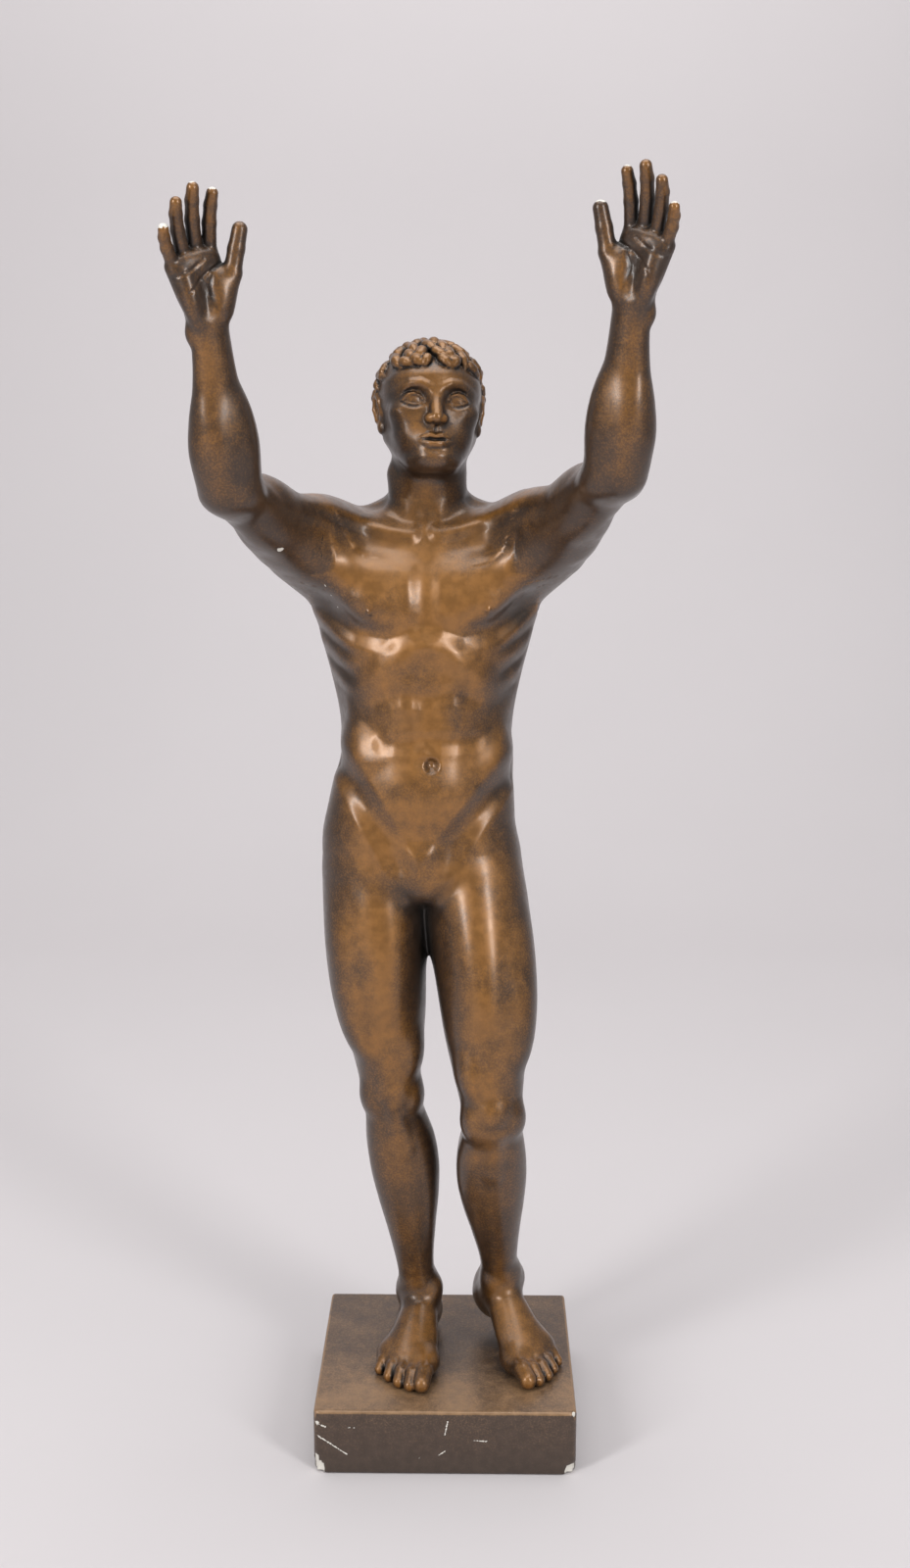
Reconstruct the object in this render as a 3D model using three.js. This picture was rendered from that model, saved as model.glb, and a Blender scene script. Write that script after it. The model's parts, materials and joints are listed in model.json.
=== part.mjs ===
import * as THREE from "three";

// Standing male figure with both arms raised, on a nearly square plinth.
// Millimetres, +Z up. The figure faces -Y. Its own left side lies towards +X.

const plinthWidth = 200;
const plinthDepth = 188;
const plinthHeight = 52;
const plinthEdge = 2.4;
const plinthCorner = 5;
const soleGap = 0.3;
const soleLevel = plinthHeight + soleGap;

const cellSize = 3;
const figureTriangles = 9300;
const blockCells = 12;
const farValue = 8;
const samplesPerLimb = 49;

const forms = [];

function add(a, b, scale = 1) {
  return [a[0] + b[0] * scale, a[1] + b[1] * scale, a[2] + b[2] * scale];
}

function minus(a, b) {
  return [a[0] - b[0], a[1] - b[1], a[2] - b[2]];
}

function dot(a, b) {
  return a[0] * b[0] + a[1] * b[1] + a[2] * b[2];
}

function cross(a, b) {
  return [a[1] * b[2] - a[2] * b[1], a[2] * b[0] - a[0] * b[2], a[0] * b[1] - a[1] * b[0]];
}

function unit(a) {
  const long = Math.sqrt(dot(a, a));
  return [a[0] / long, a[1] / long, a[2] / long];
}

// A place with three square directions: side, front and up.
function frameAt(origin, upWay, frontWay) {
  const up = unit(upWay);
  const front = unit(add(frontWay, up, -dot(frontWay, up)));
  const side = cross(up, front);
  return {
    origin,
    side,
    front,
    up,
    at(a, b, c) {
      return add(add(add(origin, side, a), front, b), up, c);
    },
  };
}

const world = frameAt([0, 0, 0], [0, 0, 1], [0, -1, 0]);

// A smooth curve through the stations, read off evenly.
function smoothTable(stations) {
  const last = stations.length - 1;
  const slopes = stations.map((row, i) => {
    const before = stations[Math.max(i - 1, 0)];
    const after = stations[Math.min(i + 1, last)];
    if (i === 0 || i === last) {
      return row.map((v, j) => (after[j] - before[j]) / (after[0] - before[0]));
    }
    const back = row[0] - before[0];
    const on = after[0] - row[0];
    return row.map((v, j) => {
      const rise = (after[j] - v) * back * back + (v - before[j]) * on * on;
      return rise / (back * on * (back + on));
    });
  });
  const table = [];
  let i = 0;
  for (let n = 0; n < samplesPerLimb; n++) {
    const u = stations[0][0] + ((stations[last][0] - stations[0][0]) * n) / (samplesPerLimb - 1);
    while (i < last - 1 && u >= stations[i + 1][0]) {
      i++;
    }
    const h = stations[i + 1][0] - stations[i][0];
    const x = (u - stations[i][0]) / h;
    const row = [];
    for (let j = 1; j <= 4; j++) {
      row.push(
        stations[i][j] * (2 * x ** 3 - 3 * x ** 2 + 1) +
          slopes[i][j] * h * (x ** 3 - 2 * x ** 2 + x) +
          stations[i + 1][j] * (3 * x ** 2 - 2 * x ** 3) +
          slopes[i + 1][j] * h * (x ** 3 - x ** 2),
      );
    }
    table.push(row);
  }
  return table;
}

function remember(form, low, high, reach) {
  form.low = low.map((v) => v - reach);
  form.high = high.map((v) => v + reach);
  forms.push(form);
}

function halfBox(size, frame) {
  return [0, 1, 2].map(
    (k) =>
      Math.abs(frame.side[k]) * size[0] +
      Math.abs(frame.front[k]) * size[1] +
      Math.abs(frame.up[k]) * size[2],
  );
}

// An ellipsoid joined on, rounded in over the blend.
function oval(at, size, blend, frame = world) {
  const half = halfBox(size, frame);
  remember({ kind: "oval", at, size, frame, blend }, minus(at, half), add(at, half), blend);
}

// A tapering form along a bone. Each station gives its share of the length and the reach
// towards -X, +X, front and back.
function limb(start, end, front, stations, blend, lowCap = 1, highCap = 1, power = 2) {
  const frame = frameAt(start, minus(end, start), front);
  if (frame.side[0] < 0) {
    frame.side = frame.side.map((v) => -v);
  }
  const table = smoothTable(stations);
  const mean = (row) => (row[0] + row[1] + row[2] + row[3]) / 4;
  const form = { kind: "limb", at: start, frame, table, blend, power };
  form.long = Math.sqrt(dot(minus(end, start), minus(end, start)));
  form.lowCap = lowCap * mean(table[0]);
  form.highCap = highCap * mean(table[table.length - 1]);
  const most = Math.max(...table.flat());
  const first = add(start, frame.up, -form.lowCap);
  const final = add(end, frame.up, form.highCap);
  const low = [0, 1, 2].map((k) => Math.min(start[k] - most, end[k] - most, first[k], final[k]));
  const high = [0, 1, 2].map((k) => Math.max(start[k] + most, end[k] + most, first[k], final[k]));
  remember(form, low, high, blend);
}

function rod(start, end, thickStart, thickEnd, blend) {
  const round = (share, r) => [share, r, r, r, r];
  limb(start, end, [0.13, -1, 0.21], [round(0, thickStart), round(1, thickEnd)], blend);
}

// A soft rise of the skin inside an ellipsoid. A height below nought is a hollow.
function swell(at, size, height, frame = world) {
  const half = halfBox(size, frame);
  remember({ kind: "swell", at, size, frame, height }, minus(at, half), add(at, half), 0);
}

// A raised line, or a furrow, drawn on the skin as seen from one direction.
function ridge(points, radius, height, toward = null, gate = 0) {
  const heights = Array.isArray(height) ? height : points.map(() => height);
  let low = [0, 1, 2].map((k) => Math.min(...points.map((p) => p[k])) - radius);
  let high = [0, 1, 2].map((k) => Math.max(...points.map((p) => p[k])) + radius);
  const form = { kind: "ridge", radius, heights, toward: null, gate, points };
  if (toward) {
    const way = unit(toward);
    form.toward = way;
    form.points = points.map((p) => add(p, way, -dot(p, way)));
    low = low.map((v, k) => v - Math.abs(way[k]) * 90);
    high = high.map((v, k) => v + Math.abs(way[k]) * 90);
  }
  remember(form, low, high, 0);
}

function distanceTo(form, x, y, z) {
  const { side, front, up } = form.frame;
  const dx = x - form.at[0];
  const dy = y - form.at[1];
  const dz = z - form.at[2];
  const a = dx * side[0] + dy * side[1] + dz * side[2];
  const b = dx * front[0] + dy * front[1] + dz * front[2];
  let c = dx * up[0] + dy * up[1] + dz * up[2];
  let sizeA = 0;
  let sizeB = 0;
  let sizeC = 0;
  if (form.kind === "oval") {
    [sizeA, sizeB, sizeC] = form.size;
  } else {
    const share = Math.min(Math.max(c / form.long, 0), 1);
    const n = share * (samplesPerLimb - 1);
    const i = Math.min(Math.floor(n), samplesPerLimb - 2);
    const f = n - i;
    const near = a < 0 ? 0 : 1;
    const face = b > 0 ? 2 : 3;
    sizeA = form.table[i][near] * (1 - f) + form.table[i + 1][near] * f;
    sizeB = form.table[i][face] * (1 - f) + form.table[i + 1][face] * f;
    c -= share * form.long;
    sizeC = c < 0 ? form.lowCap : form.highCap;
  }
  const u = a / sizeA;
  const v = b / sizeB;
  const w = c / sizeC;
  if (form.kind === "oval" || form.power === 2) {
    const k0 = Math.max(Math.sqrt(u * u + v * v + w * w), 1e-4);
    const k1 = Math.max(Math.sqrt((u / sizeA) ** 2 + (v / sizeB) ** 2 + (w / sizeC) ** 2), 1e-6);
    return (k0 * (k0 - 1)) / k1;
  }
  const p = form.power;
  const sum = (r, s, t) => (Math.abs(r) ** p + Math.abs(s) ** p + Math.abs(t) ** p) ** (1 / p);
  const k0 = Math.max(sum(u, v, w), 1e-4);
  const k1 = Math.max(sum(u / sizeA, v / sizeB, w / sizeC), 1e-6);
  return (k0 * (k0 - 1)) / k1;
}

function riseOf(form, x, y, z) {
  if (form.kind === "swell") {
    const { side, front, up } = form.frame;
    const dx = x - form.at[0];
    const dy = y - form.at[1];
    const dz = z - form.at[2];
    const a = (dx * side[0] + dy * side[1] + dz * side[2]) / form.size[0];
    const b = (dx * front[0] + dy * front[1] + dz * front[2]) / form.size[1];
    const c = (dx * up[0] + dy * up[1] + dz * up[2]) / form.size[2];
    const left = Math.max(1 - a * a - b * b - c * c, 0);
    return form.height * left * left;
  }
  let fade = 1;
  let place = [x, y, z];
  if (form.toward) {
    const along = dot(place, form.toward);
    fade = Math.min(Math.max((along - form.gate) / 10, 0), 1);
    place = add(place, form.toward, -along);
  }
  let best = 4;
  let high = 0;
  for (let i = 0; i < form.points.length - 1; i++) {
    const a = form.points[i];
    const ab = minus(form.points[i + 1], a);
    const ap = minus(place, a);
    const t = Math.min(Math.max(dot(ap, ab) / dot(ab, ab), 0), 1);
    const off = add(ap, ab, -t);
    const d = Math.sqrt(dot(off, off)) / form.radius;
    if (d < best) {
      best = d;
      high = form.heights[i] * (1 - t) + form.heights[i + 1] * t;
    }
  }
  const left = Math.max(1 - best * best, 0);
  return high * left * left * fade;
}

function fieldAt(chosen, x, y, z) {
  let d = 60;
  for (const form of chosen) {
    if (form.kind === "swell" || form.kind === "ridge") {
      d -= riseOf(form, x, y, z);
    } else {
      const other = distanceTo(form, x, y, z);
      const k = Math.max(form.blend, 1e-3);
      const h = Math.max(k - Math.abs(d - other), 0) / k;
      d = Math.min(d, other) - h * h * k * 0.25;
    }
  }
  return d;
}

const hipR = [-57, 12, 466];
const kneeR = [-44, -7, 280];
const ankleR = [-23, 26, 90];
const hipL = [17, 10, 458];
const kneeL = [35, -43, 274];
const ankleL = [43, 22, 102];
const shoulderR = [-93, 8, 694];
const elbowR = [-146, -112, 742];
const wristR = [-151, -151, 848];
const shoulderL = [63, 8, 699];
const elbowL = [114, -117, 754];
const wristL = [118, -154, 861];
const facing = [0.1, -0.99, 0];
const ahead = [0, -1, 0];
const behind = [0, 1, 0];
const sky = [0, 0, 1];
const chest = frameAt([-16, 12, 650], [-0.02, 0.03, 1], [0.05, -1, 0]);
const pelvis = frameAt([-19, 12, 500], [0.06, 0, 1], facing);

function swapped(rows) {
  return rows.map((r) => [r[0], r[2], r[1], r[3], r[4]]);
}
// js
// Forms that the figure's two sides share are given once, for the +X side of a frame.
function pairOval(frame, place, size, blend) {
  for (const side of [-1, 1]) {
    oval(frame.at(side * place[0], place[1], place[2]), size, blend, frame);
  }
}
// js
function pairSwell(frame, place, size, height) {
  for (const side of [-1, 1]) {
    swell(frame.at(side * place[0], place[1], place[2]), size, height, frame);
  }
}
// js
function pairRod(frame, start, end, thickStart, thickEnd, blend) {
  for (const side of [-1, 1]) {
    const first = frame.at(side * start[0], start[1], start[2]);
    const last = frame.at(side * end[0], end[1], end[2]);
    rod(first, last, thickStart, thickEnd, blend);
  }
}
// js
function line(frame, points, radius, heights, toward, side = 1) {
  const places = points.map((p) => frame.at(side * p[0], 0, p[1]));
  ridge(places, radius, heights, toward, dot(frame.origin, unit(toward)) - 3);
}
// js
function pairLine(frame, points, radius, heights, toward) {
  line(frame, points, radius, heights, toward, -1);
  line(frame, points, radius, heights, toward, 1);
}

// Trunk
limb([-19, 10, 462], [-16, 12, 732], facing, [
    [0.00, 72, 68, 50, 50],
    [0.09, 75, 70, 53, 50],
    [0.18, 71, 69, 54, 46],
    [0.30, 64, 66, 54, 40],
    [0.41, 61, 63, 53, 38],
    [0.53, 65, 65, 55, 41],
    [0.64, 73, 71, 57, 46],
    [0.76, 76, 74, 52.5, 49],
    [0.84, 67, 67, 44.5, 46],
    [0.90, 52, 52, 35.5, 41],
    [0.95, 38, 38, 27, 34],
    [1.00, 24, 24, 19, 26],
], 6, 0.55, 1, 2.1);
// Shoulder girdle and neck
rod([-16, 16, 694], [-88, 10, 694], 25, 26, 20);
rod([-16, 16, 694], [58, 10, 699], 25, 26, 20);
limb(
  [-16, 20, 694], [-14, 9, 770], ahead,
  [[0, 34, 34, 32, 33], [0.4, 28, 28, 28, 30], [1, 27, 27, 30, 33]], 12,
);
rod([-22, 33, 728], [-68, 20, 708], 12, 14, 12);
rod([-8, 33, 728], [40, 20, 710], 12, 14, 12);
// Side muscles of the back, upper chest at the shoulders, shoulder blades, muscles beside the spine
limb(
  [-72, 22, 566], [-88, 16, 676], [-0.6, 0.8, 0],
  [[0, 5, 5, 5, 8], [0.4, 10, 10, 10, 18], [0.7, 13, 13, 13, 22], [1, 14, 14, 14, 20]], 20,
);
limb(
  [38, 22, 566], [57, 16, 680], [0.6, 0.8, 0],
  [[0, 5, 5, 5, 8], [0.4, 10, 10, 10, 18], [0.7, 13, 13, 13, 22], [1, 14, 14, 14, 20]], 20,
);
pairOval(chest, [50, 18, 42], [34, 17, 25], 20);
pairOval(chest, [42, -31, 14], [27, 13, 36], 18);
pairOval(chest, [58, -20, 34], [22, 18, 20], 16);
pairRod(chest, [13, -22, -128], [13, -29, -10], 13, 14, 14);
// Seat
oval([-56, 33, 455], [38, 37, 42], 16);
oval([15, 32, 447], [37, 36, 40], 16);
// Thighs, given for the left leg: inner side, outer side, front and back
const thigh = [
    [0.00, 37, 39, 42, 42],
    [0.15, 38, 41.5, 46, 42],
    [0.32, 36.5, 42, 46, 40],
    [0.50, 34, 39, 43, 37],
    [0.70, 31, 33.5, 37, 33],
    [0.86, 26.5, 27, 28, 29],
    [1.00, 22.5, 22.5, 20, 25],
];
limb(hipL, kneeL, facing, thigh, 10);
limb(hipR, kneeR, facing, swapped(thigh), 10);
// Shins and calves
const shin = [
    [0.00, 20, 20, 15, 22],
    [0.12, 22.5, 23.5, 18, 28],
    [0.25, 24.5, 29, 18.5, 33],
    [0.37, 24.5, 30, 18, 34.5],
    [0.51, 22, 27, 17, 32.5],
    [0.67, 18, 21, 15.5, 25],
    [0.84, 14.8, 15.5, 13.5, 18.5],
    [1.00, 14, 14, 12.5, 17],
];
limb(kneeL, ankleL, facing, swapped(shin), 6);
limb(kneeR, ankleR, facing, shin, 6);

// Kneecap, the two bone ends beside it, its tendon, and the muscles and tendons that meet there.
function knee(hip, place, ankle, inner) {
  const above = frameAt(place, minus(hip, place), facing);
  const below = frameAt(place, minus(place, ankle), facing);
  oval(below.at(inner * 12, 6, -5), [12.5, 13, 17], 8, below);
  oval(below.at(inner * -11.5, 5, -5), [12, 12, 16], 8, below);
  oval(above.at(inner * 1, 17, 3), [11.5, 7.6, 13.5], 6, above);
  rod(below.at(0, 16.5, -8), below.at(inner * 3, 12.6, -50), 4.8, 4.6, 8);
  rod(below.at(inner * 3, 12.6, -50), below.at(inner * 2, 7, -174), 4.6, 3.6, 7);
  oval(below.at(inner * 10, -20, -62), [14, 16, 40], 9, below);
  oval(below.at(inner * -10, -18, -56), [13, 15, 36], 9, below);
  oval(above.at(inner * 14, 14, 32), [12, 13, 20], 9, above);
  oval(above.at(inner * -14, 14, 52), [11, 14, 26], 10, above);
  rod(above.at(0, 26, 80), above.at(0, 18, 20), 9, 5.5, 10);
  oval(above.at(0, 30, 118), [15, 15, 52], 14, above);
  oval(above.at(inner * -22, 14, 96), [17, 20, 56], 14, above);
  rod(above.at(inner * 14, -18, 34), below.at(inner * 15, -17, -10), 7, 6, 9);
  rod(above.at(inner * -14, -18, 34), below.at(inner * -16, -16, -8), 7, 6, 9);
}
// js
// Both frames stand on the sole under the ball of the foot, and the first leans with the heel.
function foot(heel, ball, inner) {
  oval(heel.at(0, -76, 16), [16, 17, 17], 10, heel);
  const shank = [[0, 15, 15, 15, 17], [1, 15.5, 15.5, 17, 20]];
  limb(heel.at(0, -62, 44), heel.at(0, -66, 16), heel.front, shank, 9);
  oval(heel.at(inner * 12, -58, 42), [7, 9, 9], 7, heel);
  oval(heel.at(inner * -12.5, -63, 37), [6.5, 8, 10], 7, heel);
  const instep = [
    [0.00, 14, 14, 16, 14],
    [0.35, 17, 17, 14, 13],
    [0.70, 20, 20, 11.5, 9],
    [1.00, 20.5, 20.5, 9, 8.5],
  ];
  limb(heel.at(inner * 2, -56, 28), heel.at(inner * 1, 0, 9), heel.up, instep, 8);
  rod(heel.at(inner * -9, -70, 9), heel.at(inner * -17, -14, 8), 9.5, 8.5, 8);
  oval(ball.at(inner * 13.5, 0, 9.5), [11.5, 14, 10], 6, ball);
  oval(ball.at(inner * -17, -10, 7.5), [9, 14, 8], 6, ball);
  rod(heel.at(0, -76, 62), heel.at(0, -88, 22), 6.5, 7.5, 10);
  swell(heel.at(inner * 17, -34, 4), [14, 22, 11], -3.5, heel);
  const setBack = [0, 3, 0.5, -5, -12];
  const toeLong = [23, 20, 18.5, 16, 13.5];
  const toeThick = [7.8, 5.6, 5.3, 5.0, 4.7];
  for (let n = 0; n < 5; n++) {
    const fan = 0.03 - 0.05 * n;
    const long = toeLong[n];
    const wide = toeThick[n];
    const across = 14.5 - 8.4 * n;
    const start = 6 + setBack[n];
    const high = 9 - 0.6 * n;
    const root = ball.at(inner * across, start, high);
    const mid = ball.at(inner * (across + fan * long * 0.5), start + long * 0.52, high + 1.2);
    const tip = ball.at(inner * (across + fan * long), start + long, wide * 0.88);
    rod(root, mid, wide * 1.02, wide * 0.9, 3);
    rod(mid, tip, wide * 0.9, wide * 0.88, 1.5);
  }
}

knee(hipL, kneeL, ankleL, -1);
knee(hipR, kneeR, ankleR, 1);
foot(
  frameAt([-30, -34, 52], sky, [-0.12, -0.99, 0]), frameAt([-30, -34, 52], sky, [-0.12, -0.99, 0]),
  1,
);
foot(
  frameAt([66, -26, 52], [0.09, -0.2, 0.97], [0.4, -0.9, 0]),
  frameAt([66, -26, 52], sky, [0.4, -0.9, 0]), -1,
);

// Arms: the upper arm's front is the biceps side
const upperArm = [
    [0.00, 25, 25, 25, 26],
    [0.20, 24.5, 24.5, 24, 27],
    [0.45, 22.5, 22.5, 23, 26],
    [0.70, 20, 20, 20.5, 22.5],
    [0.90, 19.5, 19.5, 17, 18],
    [1.00, 18.5, 18.5, 15, 16.5],
];
limb(shoulderL, elbowL, sky, upperArm, 22);
limb(shoulderR, elbowR, sky, upperArm, 22);
// Forearms: inner side, outer side, palm side and back, given for the left arm
const forearm = [
    [0.00, 14, 14.5, 14, 13.5],
    [0.20, 19, 22, 19, 17.5],
    [0.45, 17.5, 19.5, 16.5, 16.5],
    [0.75, 14.2, 14.5, 12, 12.3],
    [1.00, 12.8, 12.8, 10, 10],
];
const palmL = [-0.62, -0.78, 0];
const palmR = [0.62, -0.78, 0];
limb(elbowL, wristL, palmL, forearm, 15);
limb(elbowR, wristR, palmR, swapped(forearm), 15);

// Shoulder cap, biceps, triceps, elbow bones, the thick of the forearm and the wrist bone.
function armForms(shoulder, elbow, wrist, outer) {
  const upper = frameAt(shoulder, minus(elbow, shoulder), sky);
  const lower = frameAt(elbow, minus(wrist, elbow), [-outer * 0.62, -0.78, 0]);
  oval(upper.at(0, 6, 6), [26, 24, 34], 22, upper);
  oval(upper.at(outer * 8, 4, 22), [19, 19, 34], 24, upper);
  oval(upper.at(0, 12, 86), [14, 13, 34], 7, upper);
  oval(upper.at(outer * 5, -13, 70), [15, 14.5, 44], 9, upper);
  oval(upper.at(outer * -9, -12, 62), [12, 13, 38], 9, upper);
  rod(lower.at(outer * 1, -11, -8), lower.at(outer * 3, -11, 44), 7.5, 5.5, 7);
  oval(upper.at(outer * 12.5, -2, 136), [6.5, 8, 10], 10, upper);
  oval(upper.at(outer * -12.5, -2, 136), [6, 8, 9], 10, upper);
  oval(lower.at(outer * 9, 3, 30), [12.5, 15, 32], 12, lower);
  oval(lower.at(outer * -8, 6, 32), [12, 13, 34], 11, lower);
  oval(lower.at(outer * -14, 0, 22), [8, 10, 34], 8, lower);
  oval(lower.at(outer * 9.8, -5, 107), [4.4, 5, 6], 6, lower);
}
// js
// The fan leans a finger sideways and the curl bends each joint towards the palm.
function finger(palm, inner, knuckle, fan, curl, lengths, thick) {
  let at = palm.at(inner * knuckle[0], knuckle[1], knuckle[2]);
  let bend = 0.1;
  for (let i = 0; i < lengths.length; i++) {
    bend += curl;
    const across = inner * Math.sin(fan) * Math.cos(bend);
    const way = minus(palm.at(across, Math.sin(bend), Math.cos(fan) * Math.cos(bend)), palm.origin);
    const end = add(at, way, lengths[i]);
    rod(at, end, thick * (1 - 0.07 * i), thick * (0.93 - 0.07 * i), 1.6);
    at = end;
  }
}
// js
// The thumb lies on the inner side of the palm's frame.
function hand(wrist, way, palmWay, inner) {
  const palm = frameAt(wrist, way, palmWay);
  const span = [
    [0.0, 12, 12, 8, 8],
    [0.4, 16, 16, 7.5, 7.5],
    [1.0, 18.5, 18.5, 6, 6.2],
  ];
  limb(palm.at(0, -1, 5), palm.at(0, -1.5, 39), palmWay, span, 7, 1.0, 0.5, 2.4);
  const knuckles = [[14.5, -2, 42], [5, -2.6, 44.5], [-4.8, -2.2, 42.5], [-13.5, -1.5, 38.5]];
  for (const [across, out, along] of knuckles) {
    rod(
      palm.at(inner * across * 0.5, -4.6, 8), palm.at(inner * across, out - 1.2, along), 3.6, 4.6,
      4,
    );
  }
  oval(palm.at(0, 1.6, 36), [17.5, 5.5, 8.5], 5, palm);
  oval(palm.at(inner * 10, 5, 17), [8, 7.5, 15.5], 4.5, palm);
  oval(palm.at(inner * -10.5, 4, 19), [6.8, 6.4, 18], 4.5, palm);
  line(
    palm, [[inner * 17, 33], [inner * 8, 31.5], [inner * 2, 22], [inner * 1.5, 8]], 2, -0.6,
    palmWay,
  );
  line(palm, [[inner * 17, 34], [inner * 2, 30], [inner * -13, 22]], 1.8, -0.5, palmWay);
  line(palm, [[inner * 4, 39], [inner * -6, 35], [inner * -18, 33]], 1.8, -0.5, palmWay);
  finger(palm, inner, knuckles[0], 0.16, 0.13, [17, 11, 8], 4.9);
  finger(palm, inner, knuckles[1], 0.03, 0.15, [19, 12.5, 8.5], 5.0);
  finger(palm, inner, knuckles[2], -0.12, 0.18, [17.5, 11.5, 8.5], 4.8);
  finger(palm, inner, knuckles[3], -0.30, 0.20, [13.5, 8.5, 7.5], 4.3);
  rod(palm.at(inner * 8, 4, 8), palm.at(inner * 21, 8, 26), 8.5, 6.5, 6);
  finger(palm, inner, [21, 8, 26], 0.42, 0.02, [15, 12], 5.9);
}

armForms(shoulderL, elbowL, wristL, 1);
armForms(shoulderR, elbowR, wristR, -1);
hand(wristL, [0.2, -0.22, 0.95], palmL, -1);
hand(wristR, [-0.2, -0.22, 0.95], palmR, 1);
// Folds in front of and behind the armpits
rod(chest.at(54, 34, 24), [84, -38, 706], 15, 13, 24);
rod(chest.at(-54, 34, 24), [-113, -36, 702], 15, 13, 24);
rod(chest.at(66, -2, 10), [82, -18, 694], 13, 14, 16);
rod(chest.at(-66, -2, 10), [-112, -18, 690], 13, 14, 16);
// Head, looking ahead and a little up
const head = frameAt([-13, 2, 797], [0.01, 0.17, 0.98], [0.13, -0.98, 0.17]);
oval(head.at(0, -8, 8), [36, 43, 37], 10, head);
limb(head.at(0, 8, 14), head.at(0, 13, -39), head.front, [
    [0.00, 32.5, 32.5, 27, 22],
    [0.35, 31, 31, 25.5, 24],
    [0.60, 29.5, 29.5, 25, 22],
    [0.84, 24, 24, 24, 16],
    [1.00, 17, 17, 22.5, 10],
], 9, 0.4, 0.6, 2);
// Jaw, chin, cheekbones and brow
pairRod(head, [27, -7, -20], [13, 20, -39], 5, 5.5, 15);
oval(head.at(0, 27.5, -39.5), [12.5, 10.5, 9.5], 9, head);
pairOval(head, [16.5, 20, -21], [10, 11, 12], 9);
pairOval(head, [22, 22, -8], [9, 9, 6], 9);
pairSwell(head, [15, 36, 1], [12.5, 15, 9], -6);
pairLine(head, [[4, 8], [11, 11.5], [19, 11.5], [27, 7]], 4.5, [1, 2, 1.9, 0.8], head.front);
// Nose
limb(head.at(0, 31, 9), head.at(0, 41.5, -13.5), head.front, [
    [0.0, 5.2, 5.2, 5.2, 6],
    [0.45, 4.6, 4.6, 4.6, 8],
    [1.0, 4.5, 4.5, 4.6, 9],
], 4, 0.6, 0.8);
pairOval(head, [5, 38.5, -14.4], [3, 4.8, 3], 2.5);
pairSwell(head, [3.6, 42.5, -18.6], [2, 5, 2], -2);
// Eyes: ball, upper lid and lower lid
pairOval(head, [15.3, 25, 0.4], [10.2, 8, 8.4], 1.5);
pairLine(
  head, [[8.4, -1], [11, 2.6], [15.5, 4.3], [20, 3], [23.6, -0.8]], 1.7, [0.6, 1.5, 1.7, 1.5, 0.8],
  head.front,
);
pairLine(
  head, [[8.6, -1.4], [12, -3.4], [16, -4], [20, -3], [23.4, -1]], 1.5, [0.4, 0.9, 1, 0.9, 0.5],
  head.front,
);
pairLine(
  head, [[8.5, 3.5], [12, 6.6], [17, 7.2], [22, 5.2], [25.5, 1]], 1.6,
  [-0.2, -0.7, -0.8, -0.7, -0.2], head.front,
);
// Mouth
oval(head.at(0, 27.5, -27.5), [13, 9.5, 10], 7, head);
line(
  head, [[-10.5, -28.4], [-4.5, -25.6], [0, -26.5], [4.5, -25.6], [10.5, -28.4]], 2.8,
  [0.4, 1.9, 1.5, 1.9, 0.4], head.front,
);
line(
  head, [[-9.5, -29.6], [-4, -32], [0, -32.2], [4, -32], [9.5, -29.6]], 3.6,
  [0.4, 1.8, 2, 1.8, 0.4], head.front,
);
line(
  head, [[-11.4, -28.6], [-4, -28.8], [0, -29.2], [4, -28.8], [11.4, -28.6]], 1.5,
  [-0.7, -1.4, -1.2, -1.4, -0.7], head.front,
);
line(head, [[0, -20], [0, -24.5]], 2, [-0.9, -0.9], head.front);
line(head, [[-8, -35.4], [0, -36], [8, -35.4]], 4.6, [-0.3, -1.3, -0.3], head.front);
// Muscles of the neck that run down to the notch between the collar bones
pairRod(chest, [19, 4, 100], [7, 22, 62], 7, 5.5, 10);

function strand(places, first, last, blend) {
  const steps = places.length - 1;
  for (let i = 0; i < steps; i++) {
    const a = first + ((last - first) * i) / steps;
    const b = first + ((last - first) * (i + 1)) / steps;
    rod(places[i], places[i + 1], a, b, blend);
  }
}
// js
// Ear: base, rim, lobe, hollow and the small flap in front of it.
function ear(side) {
  oval(head.at(side * 34, -9, -3), [3.5, 8.5, 13], 4, head);
  const rim = [
    [35.5, -3, -4],
    [37.5, -3, 4],
    [38.5, -8, 9.5],
    [39.5, -14, 7.5],
    [39.5, -16, 0],
    [37.5, -13, -8],
    [35.5, -8.5, -13],
  ];
  strand(rim.map((p) => head.at(side * p[0], p[1], p[2])), 1.9, 2.1, 1);
  oval(head.at(side * 35.5, -7, -14), [2.6, 4, 4.6], 2, head);
  swell(head.at(side * 38, -9, 1), [5, 5, 8], -2.6, head);
  oval(head.at(side * 34.5, -2.5, -4), [2.6, 2.4, 3.6], 1.5, head);
}
// js
// One curl: polar angle from the crown, turn about it, sideways hook, length and thickness.
function lock(polar, turn, hook, long, thick) {
  const places = [];
  const rise = [1.0, 1.055, 1.065, 1.05, 1.015];
  const tilt = 0.34;
  for (let i = 0; i < 5; i++) {
    const a = ((polar + (long * i) / 4) * Math.PI) / 180;
    const b = ((turn + (hook * (i / 4) ** 1.6) / Math.max(Math.sin(a), 0.4)) * Math.PI) / 180;
    const c = [Math.sin(a) * Math.sin(b), Math.sin(a) * Math.cos(b), Math.cos(a)];
    const back = c[1] * Math.cos(tilt) - c[2] * Math.sin(tilt);
    const high = c[1] * Math.sin(tilt) + c[2] * Math.cos(tilt);
    places.push(
      head.at(36.5 * rise[i] * c[0], -8 + 43.5 * rise[i] * back, 8 + 37.5 * rise[i] * high),
    );
  }
  const thin = [0.8, 1, 0.95, 0.74, 0.42];
  for (let i = 0; i < 4; i++) {
    rod(places[i], places[i + 1], thick * thin[i], thick * thin[i + 1], 0.15);
  }
}
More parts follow.
